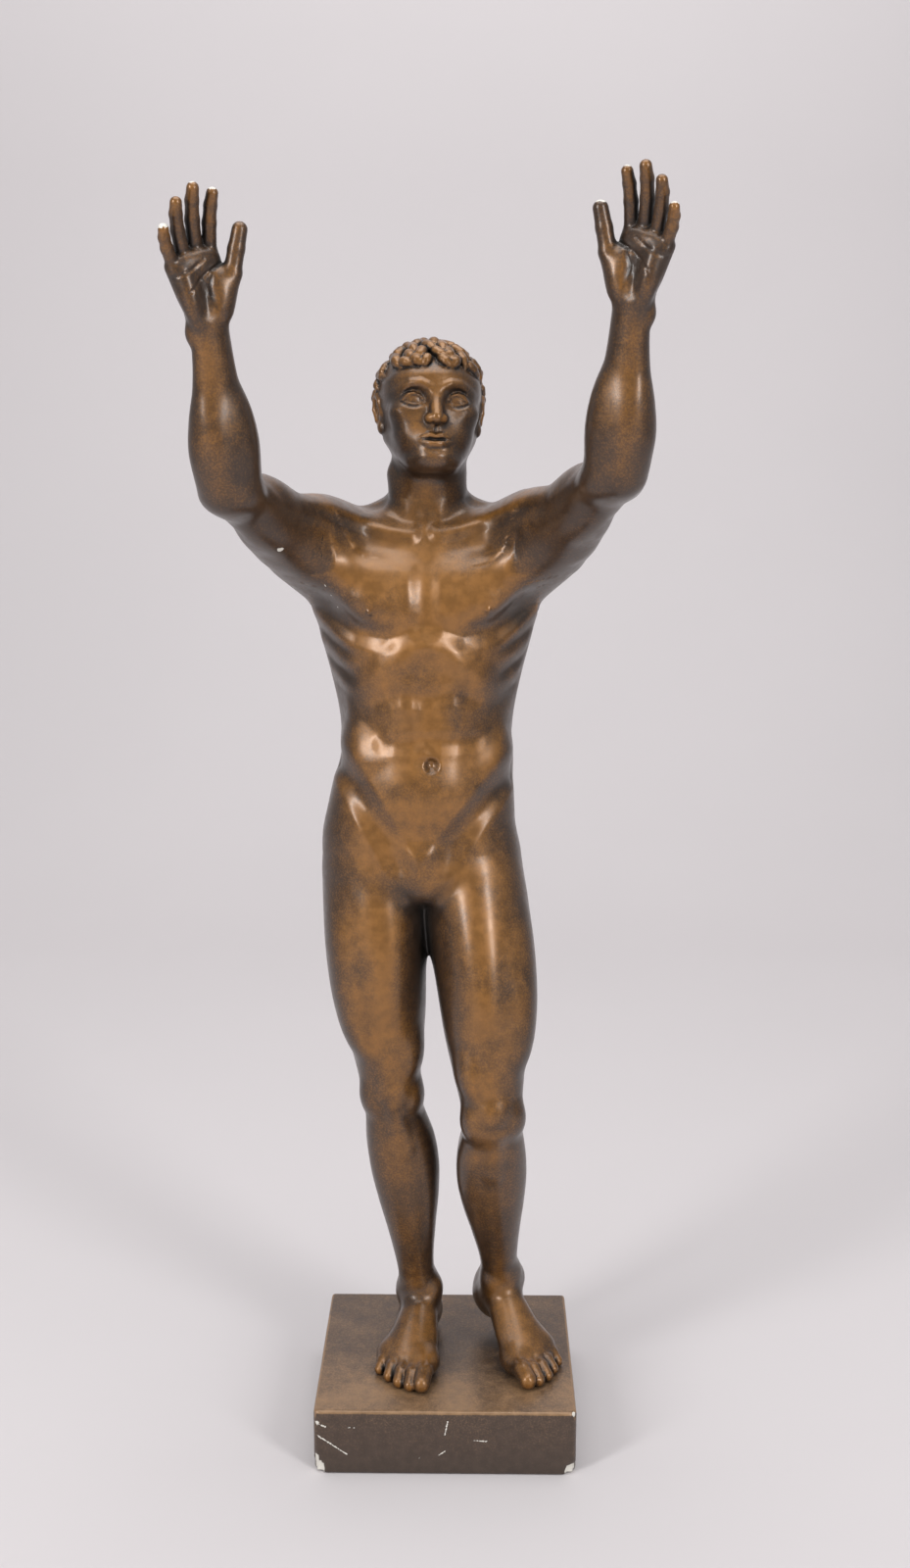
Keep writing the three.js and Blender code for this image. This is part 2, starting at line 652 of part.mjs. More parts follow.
// js
// Polar angle at which the hair ends: brow, temple, ear, nape.
function hairReach(turn) {
  const wide = Math.abs(((turn + 180) % 360) - 180);
  if (wide < 50) {
    return 87 - 0.14 * wide;
  }
  if (wide < 78) {
    return 80 + 0.02 * (wide - 50);
  }
  return wide < 105 ? 80.6 + 0.6 * (wide - 78) : 97 + 0.2 * (wide - 105);
}
// js
ear(-1);
ear(1);
oval(head.at(0, -13, 12), [37.5, 41, 36.5], 5, head);
for (let ring = 0; ring < 8; ring++) {
  const polar = 3 + 14 * ring;
  const count = Math.max(Math.round(23 * Math.sin(((polar + 8) * Math.PI) / 180)), 4);
  for (let n = 0; n < count; n++) {
    const turn = (360 * (n + 0.5 * (ring % 2) + 0.12 * Math.sin(7.1 * n + ring))) / count;
    const room = hairReach(turn) - polar;
    if (room >= 8) {
      const hook = 15 * Math.sin(2.4 * n + 1.7 * ring + 0.6) + 8;
      lock(polar, turn, hook, Math.min(room, 22), 4.3 + 0.4 * Math.sin(3.7 * n + ring));
    }
  }
}

// Chest: two broad flat muscles, the furrow between them and their lower edges
pairSwell(chest, [33, 54, 18], [46, 28, 36], 6);
pairSwell(chest, [44, 54, 4], [27, 22, 20], 3);
pairLine(
  chest, [[8, -10], [28, -15], [50, -12], [68, 4], [82, 26]], 13, [-1, -2.6, -3, -2, 0], ahead,
);
line(chest, [[0, 54], [0, 22], [0, -10]], 13, [-1, -2.8, -2.2], ahead);
pairLine(
  chest, [[9, 58], [26, 61], [46, 68], [66, 79], [80, 86]], 9, [2.4, 2.4, 2.2, 1.6, 0.4], ahead,
);
pairLine(chest, [[22, 73], [42, 80], [60, 90]], 11, [-1, -1.8, -0.8], ahead);
swell(chest.at(0, 30, 68), [11, 18, 11], -1.6, chest);
pairSwell(chest, [34, 40, 50], [26, 22, 13], -1);
pairSwell(chest, [43, 52, 2], [6, 24, 6], 0.7);
pairSwell(chest, [43, 52, 2], [3.2, 24, 3.2], 1.3);
// Rib arch, belly, flanks and the teeth of the side muscle
pairLine(
  chest, [[3, -20], [16, -27], [30, -38], [44, -52], [54, -68]], 15, [1.4, 2.2, 2.6, 2.2, 0.5],
  ahead,
);
pairLine(chest, [[82, -2], [66, -14], [52, -20]], 8, [1.2, 1.6, 0.2], ahead);
pairLine(chest, [[80, -20], [64, -32], [50, -39]], 8, [1.4, 1.8, 0.2], ahead);
pairLine(chest, [[78, -38], [62, -50], [50, -57]], 8, [1.2, 1.6, 0.2], ahead);
swell(chest.at(0, 60, -48), [30, 22, 22], -1.6, chest);
line(chest, [[0, -34], [0, -68], [-2, -106]], 12, [-1, -2.4, -1.6], ahead);
pairSwell(chest, [20, 60, -62], [16, 20, 40], 2.6);
pairLine(chest, [[5, -60], [20, -57], [33, -62]], 10, -1.3, ahead);
pairLine(chest, [[5, -92], [20, -94], [33, -94]], 10, -1.2, ahead);
pairLine(pelvis, [[56, 112], [46, 86], [40, 62], [38, 40]], 17, [-0.6, -2.8, -3, -0.6], ahead);
swell(pelvis.at(0, 56, 41), [7, 18, 7.5], -4.5, pelvis);
line(pelvis, [[-8, 46], [0, 49.5], [8, 46]], 4, [0.2, 1.2, 0.2], ahead);
swell(pelvis.at(0, 54, 20), [46, 26, 32], 4, pelvis);
pairSwell(pelvis, [57, 26, 45], [32, 42, 26], 4);
// Creases at the top of the thighs and the lower edge of the belly
pairLine(
  pelvis, [[78, 50], [66, 37], [52, 20], [38, 1], [25, -18], [13, -37]], 14,
  [-0.3, -3, -4, -4, -4.4, -3.6], ahead,
);
line(
  pelvis, [[-40, 4], [-22, -11], [0, -16], [22, -11], [40, 4]], 13, [0, -1.6, -2.4, -1.6, 0], ahead,
);
swell(pelvis.at(0, 50, -32), [24, 20, 16], 3, pelvis);
// Smooth closed form at the groin
oval(pelvis.at(0, 40, -46), [12, 12, 18], 16);
// Back furrow, blades, flanks and seat
line(chest, [[0, 42], [0, -10], [0, -70], [0, -132]], 14, [-2.5, -4.5, -5, -3], behind);
pairLine(chest, [[22, 46], [22, 12], [32, -20], [52, -26]], 12, [-0.4, -2, -1.8, -0.6], behind);
pairLine(chest, [[24, 40], [46, 46], [66, 54], [80, 60]], 10, [0.2, 1.6, 1.4, 0.2], behind);
pairLine(chest, [[62, -30], [44, -64], [30, -104]], 15, [-0.3, -1.8, -0.4], behind);
line(pelvis, [[0, -8], [1, -40], [2, -82]], 12, [-1.5, -7, -9], behind);
pairSwell(pelvis, [19, -34, 8], [9, 16, 9], -2.5);
pairSwell(pelvis, [66, -10, -38], [16, 22, 24], -2.5);

// Hands, feet and head keep smaller faces than the trunk and the limbs.
function careAt([x, y, z]) {
  if (z > 836 && y < -120) {
    return 5;
  }
  if (z > 742 && y > -80) {
    return 4;
  }
  if (z < 96) {
    return 3;
  }
  return 1;
}

// The field on an even grid, filled block by block from the forms that reach each block.
function fillGrid() {
  const solid = forms.filter((form) => form.kind === "oval" || form.kind === "limb");
  const low = [0, 1, 2].map((k) => Math.min(...solid.map((form) => form.low[k])) - 2 * cellSize);
  const high = [0, 1, 2].map((k) => Math.max(...solid.map((form) => form.high[k])) + 2 * cellSize);
  const counts = [0, 1, 2].map((k) => Math.ceil((high[k] - low[k]) / cellSize) + 1);
  const values = new Float32Array(counts[0] * counts[1] * counts[2]).fill(farValue);
  const place = (k, i) => low[k] + i * cellSize;
  for (let bx = 0; bx < counts[0]; bx += blockCells) {
    for (let by = 0; by < counts[1]; by += blockCells) {
      for (let bz = 0; bz < counts[2]; bz += blockCells) {
        const start = [bx, by, bz];
        const stop = start.map((v, k) => Math.min(v + blockCells, counts[k]));
        const chosen = forms.filter((form) =>
          [0, 1, 2].every(
            (k) => form.low[k] < place(k, stop[k]) && form.high[k] > place(k, start[k]),
          ),
        );
        if (!chosen.some((form) => form.kind === "oval" || form.kind === "limb")) {
          continue;
        }
        for (let i = start[0]; i < stop[0]; i++) {
          for (let j = start[1]; j < stop[1]; j++) {
            for (let k = start[2]; k < stop[2]; k++) {
              const z = place(2, k);
              const d = fieldAt(chosen, place(0, i), place(1, j), z);
              const kept = Math.max(d, soleLevel - z);
              const bounded = Math.min(Math.max(kept, -farValue), farValue);
              values[(i * counts[1] + j) * counts[2] + k] = bounded === 0 ? 1e-4 : bounded;
            }
          }
        }
      }
    }
  }
  return { low, counts, values };
}

// Closed skin of the grid: every cell is split into six tetrahedra that share a diagonal.
function skinOf(grid) {
  const [nx, ny, nz] = grid.counts;
  const { values, low } = grid;
  const steps = [ny * nz, nz, 1];
  const orders = [[0, 1, 2], [0, 2, 1], [1, 0, 2], [1, 2, 0], [2, 0, 1], [2, 1, 0]];
  const all = steps[0] + steps[1] + steps[2];
  const corners = orders.map(([a, b]) => [0, steps[a], steps[a] + steps[b], all]);
  const points = [];
  const faces = [];
  const known = new Map();
  const placeOf = (n) => {
    const i = Math.floor(n / (ny * nz));
    const j = Math.floor(n / nz) % ny;
    return [low[0] + i * cellSize, low[1] + j * cellSize, low[2] + (n % nz) * cellSize];
  };
  const spans = corners.flatMap(([, a, b, c]) => [a, b, c, b - a, c - a, c - b]);
  const edgeKinds = [...new Set(spans)];
  const crossing = (m, n) => {
    const a = Math.min(m, n);
    const b = Math.max(m, n);
    const key = a * 8 + edgeKinds.indexOf(b - a);
    if (!known.has(key)) {
      const t = Math.min(Math.max(values[a] / (values[a] - values[b]), 0.06), 0.94);
      const pa = placeOf(a);
      const pb = placeOf(b);
      known.set(key, points.length);
      points.push(pa.map((v, k) => v + (pb[k] - v) * t));
    }
    return known.get(key);
  };
  const put = (a, b, c, way) => {
    const normal = cross(minus(points[b], points[a]), minus(points[c], points[a]));
    faces.push(dot(normal, way) > 0 ? [a, b, c] : [a, c, b]);
  };
  const middle = (list) => {
    const sum = list.map(placeOf).reduce((p, q) => add(p, q), [0, 0, 0]);
    return sum.map((v) => v / list.length);
  };
  for (let i = 0; i < nx - 1; i++) {
    for (let j = 0; j < ny - 1; j++) {
      for (let k = 0; k < nz - 1; k++) {
        const base = (i * ny + j) * nz + k;
        const inside = values[base] < 0;
        let mixed = false;
        for (let c = 1; c < 8 && !mixed; c++) {
          const n = base + (c & 1) * steps[0] + ((c >> 1) & 1) * steps[1] + (c >> 2) * steps[2];
          mixed = values[n] < 0 !== inside;
        }
        if (!mixed) {
          continue;
        }
        for (const set of corners) {
          const nodes = set.map((step) => base + step);
          const inner = nodes.filter((n) => values[n] < 0);
          const outer = nodes.filter((n) => values[n] >= 0);
          if (inner.length === 0 || outer.length === 0) {
            continue;
          }
          const way = minus(middle(outer), middle(inner));
          if (inner.length === 2) {
            const [a, b] = inner;
            const [c, d] = outer;
            const ring = [crossing(a, c), crossing(a, d), crossing(b, d), crossing(b, c)];
            put(ring[0], ring[1], ring[2], way);
            put(ring[0], ring[2], ring[3], way);
          } else {
            const lone = inner.length === 1 ? inner[0] : outer[0];
            const rest = inner.length === 1 ? outer : inner;
            const ring = rest.map((n) => crossing(lone, n));
            put(ring[0], ring[1], ring[2], way);
          }
        }
      }
    }
  }
  return { points, faces };
}

// Fewer faces on the same skin: the edge whose loss moves the skin least goes first.
function thinned(skin, target, careAt) {
  const points = skin.points;
  const faces = skin.faces;
  const count = points.length;
  const alive = new Uint8Array(faces.length).fill(1);
  const version = new Int32Array(count);
  const around = points.map(() => []);
  const quadric = new Float64Array(count * 10);
  const addPlane = (v, n, d, weight) => {
    const terms = [
      n[0] * n[0], n[0] * n[1], n[0] * n[2], n[0] * d, n[1] * n[1],
      n[1] * n[2], n[1] * d, n[2] * n[2], n[2] * d, d * d,
    ];
    terms.forEach((term, i) => {
      quadric[v * 10 + i] += term * weight;
    });
  };
  const normalOf = (a, b, c) => cross(minus(b, a), minus(c, a));
  faces.forEach((face, f) => {
    const [a, b, c] = face.map((v) => points[v]);
    const normal = normalOf(a, b, c);
    const area = Math.sqrt(dot(normal, normal));
    const flat = unit(normal);
    for (const v of face) {
      around[v].push(f);
      const care = careAt(points[v]) * area;
      addPlane(v, flat, -dot(flat, a), care);
      addPlane(v, [1, 0, 0], -points[v][0], care * 0.001);
      addPlane(v, [0, 1, 0], -points[v][1], care * 0.001);
      addPlane(v, [0, 0, 1], -points[v][2], care * 0.001);
    }
  });
  const costAt = (q, [x, y, z]) =>
    q[0] * x * x + 2 * q[1] * x * y + 2 * q[2] * x * z + 2 * q[3] * x + q[4] * y * y +
    2 * q[5] * y * z + 2 * q[6] * y + q[7] * z * z + 2 * q[8] * z + q[9];
  const joined = (a, b) => {
    const q = [];
    for (let i = 0; i < 10; i++) {
      q.push(quadric[a * 10 + i] + quadric[b * 10 + i]);
    }
    const rows = [[q[0], q[1], q[2]], [q[1], q[4], q[5]], [q[2], q[5], q[7]]];
    const right = [-q[3], -q[6], -q[8]];
    const whole = dot(rows[0], cross(rows[1], rows[2]));
    const halfway = points[a].map((v, k) => (v + points[b][k]) / 2);
    let best = halfway;
    if (Math.abs(whole) > 1e-12) {
      const columns = [0, 1, 2].map((k) => rows.map((row) => row[k]));
      const solved = [0, 1, 2].map((k) => {
        const swapped = columns.map((column, n) => (n === k ? right : column));
        return dot(swapped[0], cross(swapped[1], swapped[2])) / whole;
      });
      const away = minus(solved, halfway);
      const edge = minus(points[a], points[b]);
      if (dot(away, away) < 1.5 * dot(edge, edge)) {
        best = solved;
      }
    }
    return { best, cost: costAt(q, best) };
  };
  const heap = [];
  const lift = (i) => {
    const item = heap[i];
    while (i > 0) {
      const up = (i - 1) >> 1;
      if (heap[up].cost <= item.cost) {
        break;
      }
      heap[i] = heap[up];
      i = up;
    }
    heap[i] = item;
  };
  const sink = () => {
    const item = heap[0];
    let i = 0;
    for (;;) {
      let child = 2 * i + 1;
      if (child >= heap.length) {
        break;
      }
      if (child + 1 < heap.length && heap[child + 1].cost < heap[child].cost) {
        child++;
      }
      if (heap[child].cost >= item.cost) {
        break;
      }
      heap[i] = heap[child];
      i = child;
    }
    heap[i] = item;
  };
  const offer = (a, b) => {
    const { best, cost } = joined(a, b);
    heap.push({ a, b, best, cost, seenA: version[a], seenB: version[b] });
    lift(heap.length - 1);
  };
  const takeLeast = () => {
    const least = heap[0];
    const final = heap.pop();
    if (heap.length > 0) {
      heap[0] = final;
      sink();
    }
    return least;
  };
  const neighbours = (v) => {
    const found = new Set();
    for (const f of around[v]) {
      for (const other of faces[f]) {
        if (other !== v) {
          found.add(other);
        }
      }
    }
    return found;
  };
  const turnsOver = (v, gone, place) =>
    around[v].some((f) => {
      if (faces[f].includes(gone)) {
        return false;
      }
      const before = faces[f].map((n) => points[n]);
      const after = faces[f].map((n) => (n === v ? place : points[n]));
      const old = normalOf(...before);
      const fresh = normalOf(...after);
      const longs = Math.sqrt(dot(old, old) * dot(fresh, fresh));
      return dot(old, fresh) < 0.25 * longs || dot(fresh, fresh) < 1e-6;
    });
  for (const face of faces) {
    for (let i = 0; i < 3; i++) {
      if (face[i] < face[(i + 1) % 3]) {
        offer(face[i], face[(i + 1) % 3]);
      }
    }
  }
  let left = faces.length;
  while (left > target && heap.length > 0) {
    const { a, b, best, seenA, seenB } = takeLeast();
    if (version[a] !== seenA || version[b] !== seenB) {
      continue;
    }
    const nearA = neighbours(a);
    const nearB = neighbours(b);
    const shared = [...nearA].filter((v) => nearB.has(v));
    if (!nearA.has(b) || shared.length !== 2) {
      continue;
    }
    if (turnsOver(a, b, best) || turnsOver(b, a, best)) {
      continue;
    }
    for (const f of around[b]) {
      if (faces[f].includes(a)) {
        alive[f] = 0;
        left--;
        for (const v of faces[f]) {
          if (v !== b) {
            around[v] = around[v].filter((g) => g !== f);
          }
        }
      } else {
        faces[f] = faces[f].map((v) => (v === b ? a : v));
        around[a].push(f);
      }
    }
    around[b] = [];
    version[b]++;
    version[a]++;
    points[a] = best;
    for (let i = 0; i < 10; i++) {
      quadric[a * 10 + i] += quadric[b * 10 + i];
    }
    for (const v of neighbours(a)) {
      offer(a, v);
    }
  }
  return { points, faces: faces.filter((face, f) => alive[f]) };
}


function meshFrom(name, skin, colour, roughness, metalness) {
  const geometry = new THREE.BufferGeometry();
  const index = new Map();
  const flat = [];
  const corners = [];
  for (const face of skin.faces) {
    for (const v of face) {
      if (!index.has(v)) {
        index.set(v, index.size);
        flat.push(...skin.points[v]);
      }
      corners.push(index.get(v));
    }
  }
  geometry.setAttribute("position", new THREE.Float32BufferAttribute(flat, 3));
  geometry.setIndex(corners);
  geometry.computeVertexNormals();
  const material = new THREE.MeshStandardMaterial({ color: colour, roughness, metalness });
  material.name = `${name}Bronze`;
  const mesh = new THREE.Mesh(geometry, material);
  mesh.name = name;
  return mesh;
}

// Closed stack of rounded rectangles, from the underside up.
function plinthSkin() {
  const cornerSteps = 3;
  const rise = [
    [0, plinthEdge * 0.5],
    [plinthEdge * 0.5, 0],
    [plinthHeight - plinthEdge, 0],
    [plinthHeight - plinthEdge * 0.3, plinthEdge * 0.3],
    [plinthHeight, plinthEdge],
  ];
  const points = [];
  const faces = [];
  const perRing = 4 * (cornerSteps + 1);
  for (const [level, inset] of rise) {
    for (let quarter = 0; quarter < 4; quarter++) {
      const sx = quarter === 0 || quarter === 3 ? 1 : -1;
      const sy = quarter < 2 ? 1 : -1;
      const cx = sx * (plinthWidth / 2 - plinthCorner);
      const cy = sy * (plinthDepth / 2 - plinthCorner);
      for (let i = 0; i <= cornerSteps; i++) {
        const turn = ((quarter + i / cornerSteps) * Math.PI) / 2;
        const reach = plinthCorner - inset;
        points.push([cx + reach * Math.cos(turn), cy + reach * Math.sin(turn), level]);
      }
    }
  }
  for (let ring = 0; ring < rise.length - 1; ring++) {
    for (let i = 0; i < perRing; i++) {
      const a = ring * perRing + i;
      const b = ring * perRing + ((i + 1) % perRing);
      faces.push([a, b, b + perRing], [a, b + perRing, a + perRing]);
    }
  }
  const top = (rise.length - 1) * perRing;
  points.push([0, 0, 0], [0, 0, plinthHeight]);
  for (let i = 0; i < perRing; i++) {
    const next = (i + 1) % perRing;
    faces.push([next, i, points.length - 2], [top + i, top + next, points.length - 1]);
  }
  return { points, faces };
}

const fine = skinOf(fillGrid());
const figureSkin = thinned(fine, figureTriangles, careAt);
for (const point of figureSkin.points) {
  point[2] = Math.max(point[2], soleLevel);
}

const statuette = new THREE.Group();
statuette.name = "statuette";
statuette.add(meshFrom("figure", figureSkin, 0x5a4632, 0.42, 0.25));
statuette.add(meshFrom("plinth", plinthSkin(), 0x5c4a3c, 0.5, 0.15));

export default statuette;
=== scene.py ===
import json
from math import cos, pi, radians, sin

import bpy
import numpy as np
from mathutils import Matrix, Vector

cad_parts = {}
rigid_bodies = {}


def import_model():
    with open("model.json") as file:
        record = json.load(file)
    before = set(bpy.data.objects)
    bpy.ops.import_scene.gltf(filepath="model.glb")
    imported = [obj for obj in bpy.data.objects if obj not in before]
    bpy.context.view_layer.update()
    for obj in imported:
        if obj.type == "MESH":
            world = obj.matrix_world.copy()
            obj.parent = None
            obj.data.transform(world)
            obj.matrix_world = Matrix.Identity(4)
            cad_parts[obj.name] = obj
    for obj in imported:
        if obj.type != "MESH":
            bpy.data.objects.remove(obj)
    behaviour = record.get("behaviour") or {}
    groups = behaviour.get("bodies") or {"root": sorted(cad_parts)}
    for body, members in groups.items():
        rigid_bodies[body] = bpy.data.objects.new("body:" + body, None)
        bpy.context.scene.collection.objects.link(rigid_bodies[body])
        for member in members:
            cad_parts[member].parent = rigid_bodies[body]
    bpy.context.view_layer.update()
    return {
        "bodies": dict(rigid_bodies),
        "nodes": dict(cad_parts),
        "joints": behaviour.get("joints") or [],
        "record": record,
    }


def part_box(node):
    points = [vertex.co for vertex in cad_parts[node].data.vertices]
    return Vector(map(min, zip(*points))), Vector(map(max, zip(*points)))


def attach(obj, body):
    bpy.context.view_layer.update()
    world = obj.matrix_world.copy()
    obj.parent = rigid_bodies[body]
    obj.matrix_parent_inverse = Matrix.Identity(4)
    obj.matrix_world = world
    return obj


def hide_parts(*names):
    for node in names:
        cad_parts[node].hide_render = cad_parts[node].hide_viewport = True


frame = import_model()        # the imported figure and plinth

import openvdb
from mathutils import Matrix, Vector

mm = 0.001
print("frame loaded:", ", ".join(sorted(frame["nodes"])))

# How the skin of the figure is made from its forms. Lengths in millimetres.
skinSettings = {
    "cell": 1.15,            # size of the cells that the skin is found in
    "blockCells": 8,
    "faces": 196000,         # triangles left after thinning
    "soleLevel": 52.3,       # just above the plinth
    "far": 3.5,              # distances are kept up to here
    "away": 60.0,            # distance of a place that no form reaches
    "nearShare": 0.9,        # a block is filled when it is nearer to the skin than this share of its side
    "nearMore": 5,           # and this much more
    "batch": 3000,           # blocks filled at a time
    "settle": 0.7,           # how far thinning may have left a place from the skin
    "ridgeDepth": 90,        # how far behind a ridge's points the skin may lie
    "ridgeFade": 10,
    "normalStep": 0.35,
}

forms = []


def unit(way):
    way = np.asarray(way, float)
    return way / np.linalg.norm(way)


class Directions:
    # a place with three square directions: side, front and up. A hand of -1 turns the side round
    def __init__(self, origin, up, front, hand=1):
        self.hand = hand
        self.origin = np.asarray(origin, float)
        self.up = unit(up)
        front = np.asarray(front, float)
        self.front = unit(front - self.up * (front @ self.up))
        self.side = np.cross(self.up, self.front)
        self.square()

    def square(self):
        self.axes = np.stack([self.side, self.front, self.up], 1)

    def at(self, side, front, up):
        return self.origin + self.side * (side * self.hand) + self.front * front + self.up * up

    def way(self, side, front, up):
        return unit(self.side * (side * self.hand) + self.front * front + self.up * up)


world = Directions([0, 0, 0], [0, 0, 1], [0, -1, 0])


def smoothTable(stations, samples=49):
    # an even table read off a smooth curve through the stations
    rows = np.asarray(stations, float)
    t, v = rows[:, 0], rows[:, 1:]
    straight = np.repeat((v[1:2] - v[:1]) / (t[1] - t[0]), 2, 0)
    slope = np.gradient(v, t, axis=0) if len(t) > 2 else straight
    u = np.linspace(t[0], t[-1], samples)
    i = np.clip(np.searchsorted(t, u, side="right") - 1, 0, len(t) - 2)
    h = (t[i + 1] - t[i])[:, None]
    x = (u - t[i])[:, None] / h
    return (
        v[i] * (2 * x**3 - 3 * x**2 + 1)
        + slope[i] * h * (x**3 - 2 * x**2 + x)
        + v[i + 1] * (3 * x**2 - 2 * x**3)
        + slope[i + 1] * h * (x**3 - x**2)
    )


def remember(form, low, high, reach):
    form["low"] = np.asarray(low) - reach
    form["high"] = np.asarray(high) + reach
    forms.append(form)


def rememberRound(kind, at, size, frame, reach, **more):
    at, size = np.asarray(at, float), np.asarray(size, float)
    half = np.abs(frame.axes) @ size
    form = {"kind": kind, "at": at, "size": size, "axes": frame.axes, **more}
    remember(form, at - half, at + half, reach)


def oval(at, size, blend, frame=world):
    # an ellipsoid joined on, rounded in over the blend
    rememberRound("oval", at, size, frame, blend, blend=blend)


def limb(start, end, front, stations, blend, lowCap=1.0, highCap=1.0, power=2.0):
    # a form along a bone: share of the length, then its reach towards -X, +X, front and back
    start, end = np.asarray(start, float), np.asarray(end, float)
    frame = Directions(start, end - start, front)
    if frame.side[0] < 0:
        frame.side = -frame.side
        frame.square()
    table = smoothTable(stations)
    form = {"kind": "limb", "at": start, "axes": frame.axes, "table": table, "blend": blend, "power": power}
    form["length"] = np.linalg.norm(end - start)
    form["lowCap"] = lowCap * table[0].mean()
    form["highCap"] = highCap * table[-1].mean()
    most = table.max()
    ends = np.stack([start - frame.up * form["lowCap"], end + frame.up * form["highCap"]])
    low = np.minimum(np.minimum(start, end) - most, ends.min(0))
    high = np.maximum(np.maximum(start, end) + most, ends.max(0))
    remember(form, low, high, blend)


def rod(start, end, thickStart, thickEnd, blend):
    stations = [[0] + [thickStart] * 4, [1] + [thickEnd] * 4]
    limb(start, end, [0.13, -1, 0.21], stations, blend)


def swell(at, size, height, frame=world):
    # a soft rise of the skin inside an ellipsoid, or a hollow when the height is below nought
    rememberRound("swell", at, size, frame, 0, height=height)


def ridge(points, radius, height, toward=None, gate=0.0):
    # a raised line or a furrow through the points, drawn on the skin as seen from one direction
    points = np.asarray(points, float)
    heights = np.broadcast_to(np.asarray(height, float), (len(points),))
    low, high = points.min(0) - radius, points.max(0) + radius
    form = {"kind": "ridge", "points": points, "radius": radius, "heights": heights, "toward": None}
    if toward is not None:
        way = unit(toward)
        form.update(toward=way, gate=gate, points=points - (points @ way)[:, None] * way)
        depth = np.abs(way) * skinSettings["ridgeDepth"]
        low, high = low - depth, high + depth
    remember(form, low, high, 0)


def lengthOf(v, power=2.0):
    if power == 2.0:
        return np.sqrt((v * v).sum(-1))
    return (np.abs(v) ** power).sum(-1) ** (1 / power)


def distanceTo(form, places):
    local = (places - form["at"]) @ form["axes"]
    power = 2.0
    if form["kind"] == "oval":
        size = form["size"]
    else:
        power = form["power"]
        share = np.clip(local[..., 2] / form["length"], 0, 1)
        table = form["table"]
        x = share * (len(table) - 1)
        i = np.minimum(x.astype(np.int32), len(table) - 2)
        f = (x - i)[..., None]
        reach = table[i] * (1 - f) + table[i + 1] * f
        local[..., 2] -= share * form["length"]
        size = np.stack([
            np.where(local[..., 0] < 0, reach[..., 0], reach[..., 1]),
            np.where(local[..., 1] > 0, reach[..., 2], reach[..., 3]),
            np.where(local[..., 2] < 0, form["lowCap"], form["highCap"]),
        ], -1)
    v = local / size
    k = np.maximum(lengthOf(v, power), 1e-4)
    return k * (k - 1) / np.maximum(lengthOf(v / size, power), 1e-6)


def riseOf(form, places):
    if form["kind"] == "swell":
        v = ((places - form["at"]) @ form["axes"]) / form["size"]
        left = np.maximum(1 - (v * v).sum(-1), 0)
        return form["height"] * left * left
    fade = 1.0
    if form["toward"] is not None:
        along = places @ form["toward"]
        fade = np.clip((along - form["gate"]) / skinSettings["ridgeFade"], 0, 1)
        places = places - along[..., None] * form["toward"]
    best = np.full(places.shape[:-1], 4.0)
    high = np.zeros(places.shape[:-1])
    points, heights = form["points"], form["heights"]
    for a, b, rise, nextRise in zip(points[:-1], points[1:], heights[:-1], heights[1:]):
        ab = b - a
        t = np.clip(((places - a) @ ab) / (ab @ ab), 0, 1)
        off = np.sqrt(((places - a - t[..., None] * ab) ** 2).sum(-1)) / form["radius"]
        near = off < best
        best = np.where(near, off, best)
        high = np.where(near, rise + (nextRise - rise) * t, high)
    left = np.maximum(1 - best * best, 0)
    return high * left * left * fade


def skinDistance(groups, spread=0.0):
    # distance from the skin of groups of places, each group met only by the forms that reach it
    low = groups.min(1) - spread
    high = groups.max(1) + spread
    d = np.full(groups.shape[:2], skinSettings["away"])
    for form in forms:
        near = np.nonzero(np.all((form["low"] < high) & (form["high"] > low), axis=1))[0]
        if len(near) == 0:
            continue
        places = groups[near]
        if form["kind"] in ("swell", "ridge"):
            d[near] -= riseOf(form, places)
            continue
        other = distanceTo(form, places)
        k = form["blend"]
        h = np.maximum(k - np.abs(d[near] - other), 0) / k
        d[near] = np.minimum(d[near], other) - h * h * k * 0.25
    return d


def skinDistanceAt(places):
    return skinDistance(places[:, None, :])[:, 0]


hipR = [-57, 12, 466]
kneeR = [-44, -7, 280]
ankleR = [-23, 26, 90]
hipL = [17, 10, 458]
kneeL = [35, -43, 274]
ankleL = [43, 22, 102]
shoulderR = [-93, 8, 694]
elbowR = [-146, -112, 742]
wristR = [-151, -151, 848]
shoulderL = [63, 8, 699]
elbowL = [114, -117, 754]
wristL = [118, -154, 861]
facing = [0.1, -0.99, 0]
ahead = [0, -1, 0]
behind = [0, 1, 0]
sky = [0, 0, 1]
chest = Directions([-16, 12, 650], [-0.02, 0.03, 1], [0.05, -1, 0])
pelvis = Directions([-19, 12, 500], [0.06, 0, 1], facing)


def swapped(rows):
    return [[r[0], r[2], r[1], r[3], r[4]] for r in rows]


def lump(frame, place, size, blend):
    oval(frame.at(*place), size, blend, frame)


def bar(frame, start, end, thickStart, thickEnd, blend):
    rod(frame.at(*start), frame.at(*end), thickStart, thickEnd, blend)


def sided(side, place):
    return [side * place[0], place[1], place[2]]


def pairOval(frame, place, size, blend):
    for side in (-1, 1):
        lump(frame, sided(side, place), size, blend)


def pairSwell(frame, place, size, height):
    for side in (-1, 1):
        swell(frame.at(*sided(side, place)), size, height, frame)


def pairRod(frame, start, end, thickStart, thickEnd, blend):
    for side in (-1, 1):
        bar(frame, sided(side, start), sided(side, end), thickStart, thickEnd, blend)


def line(frame, points, radius, heights, toward=ahead, side=1):
    depth = sum(a * b for a, b in zip(frame.origin, unit(toward))) - 3
    ridge([frame.at(side * p[0], 0, p[1]) for p in points], radius, heights, toward, depth)


def pairLine(frame, points, radius, heights, toward=ahead):
    line(frame, points, radius, heights, toward, -1)
    line(frame, points, radius, heights, toward, 1)


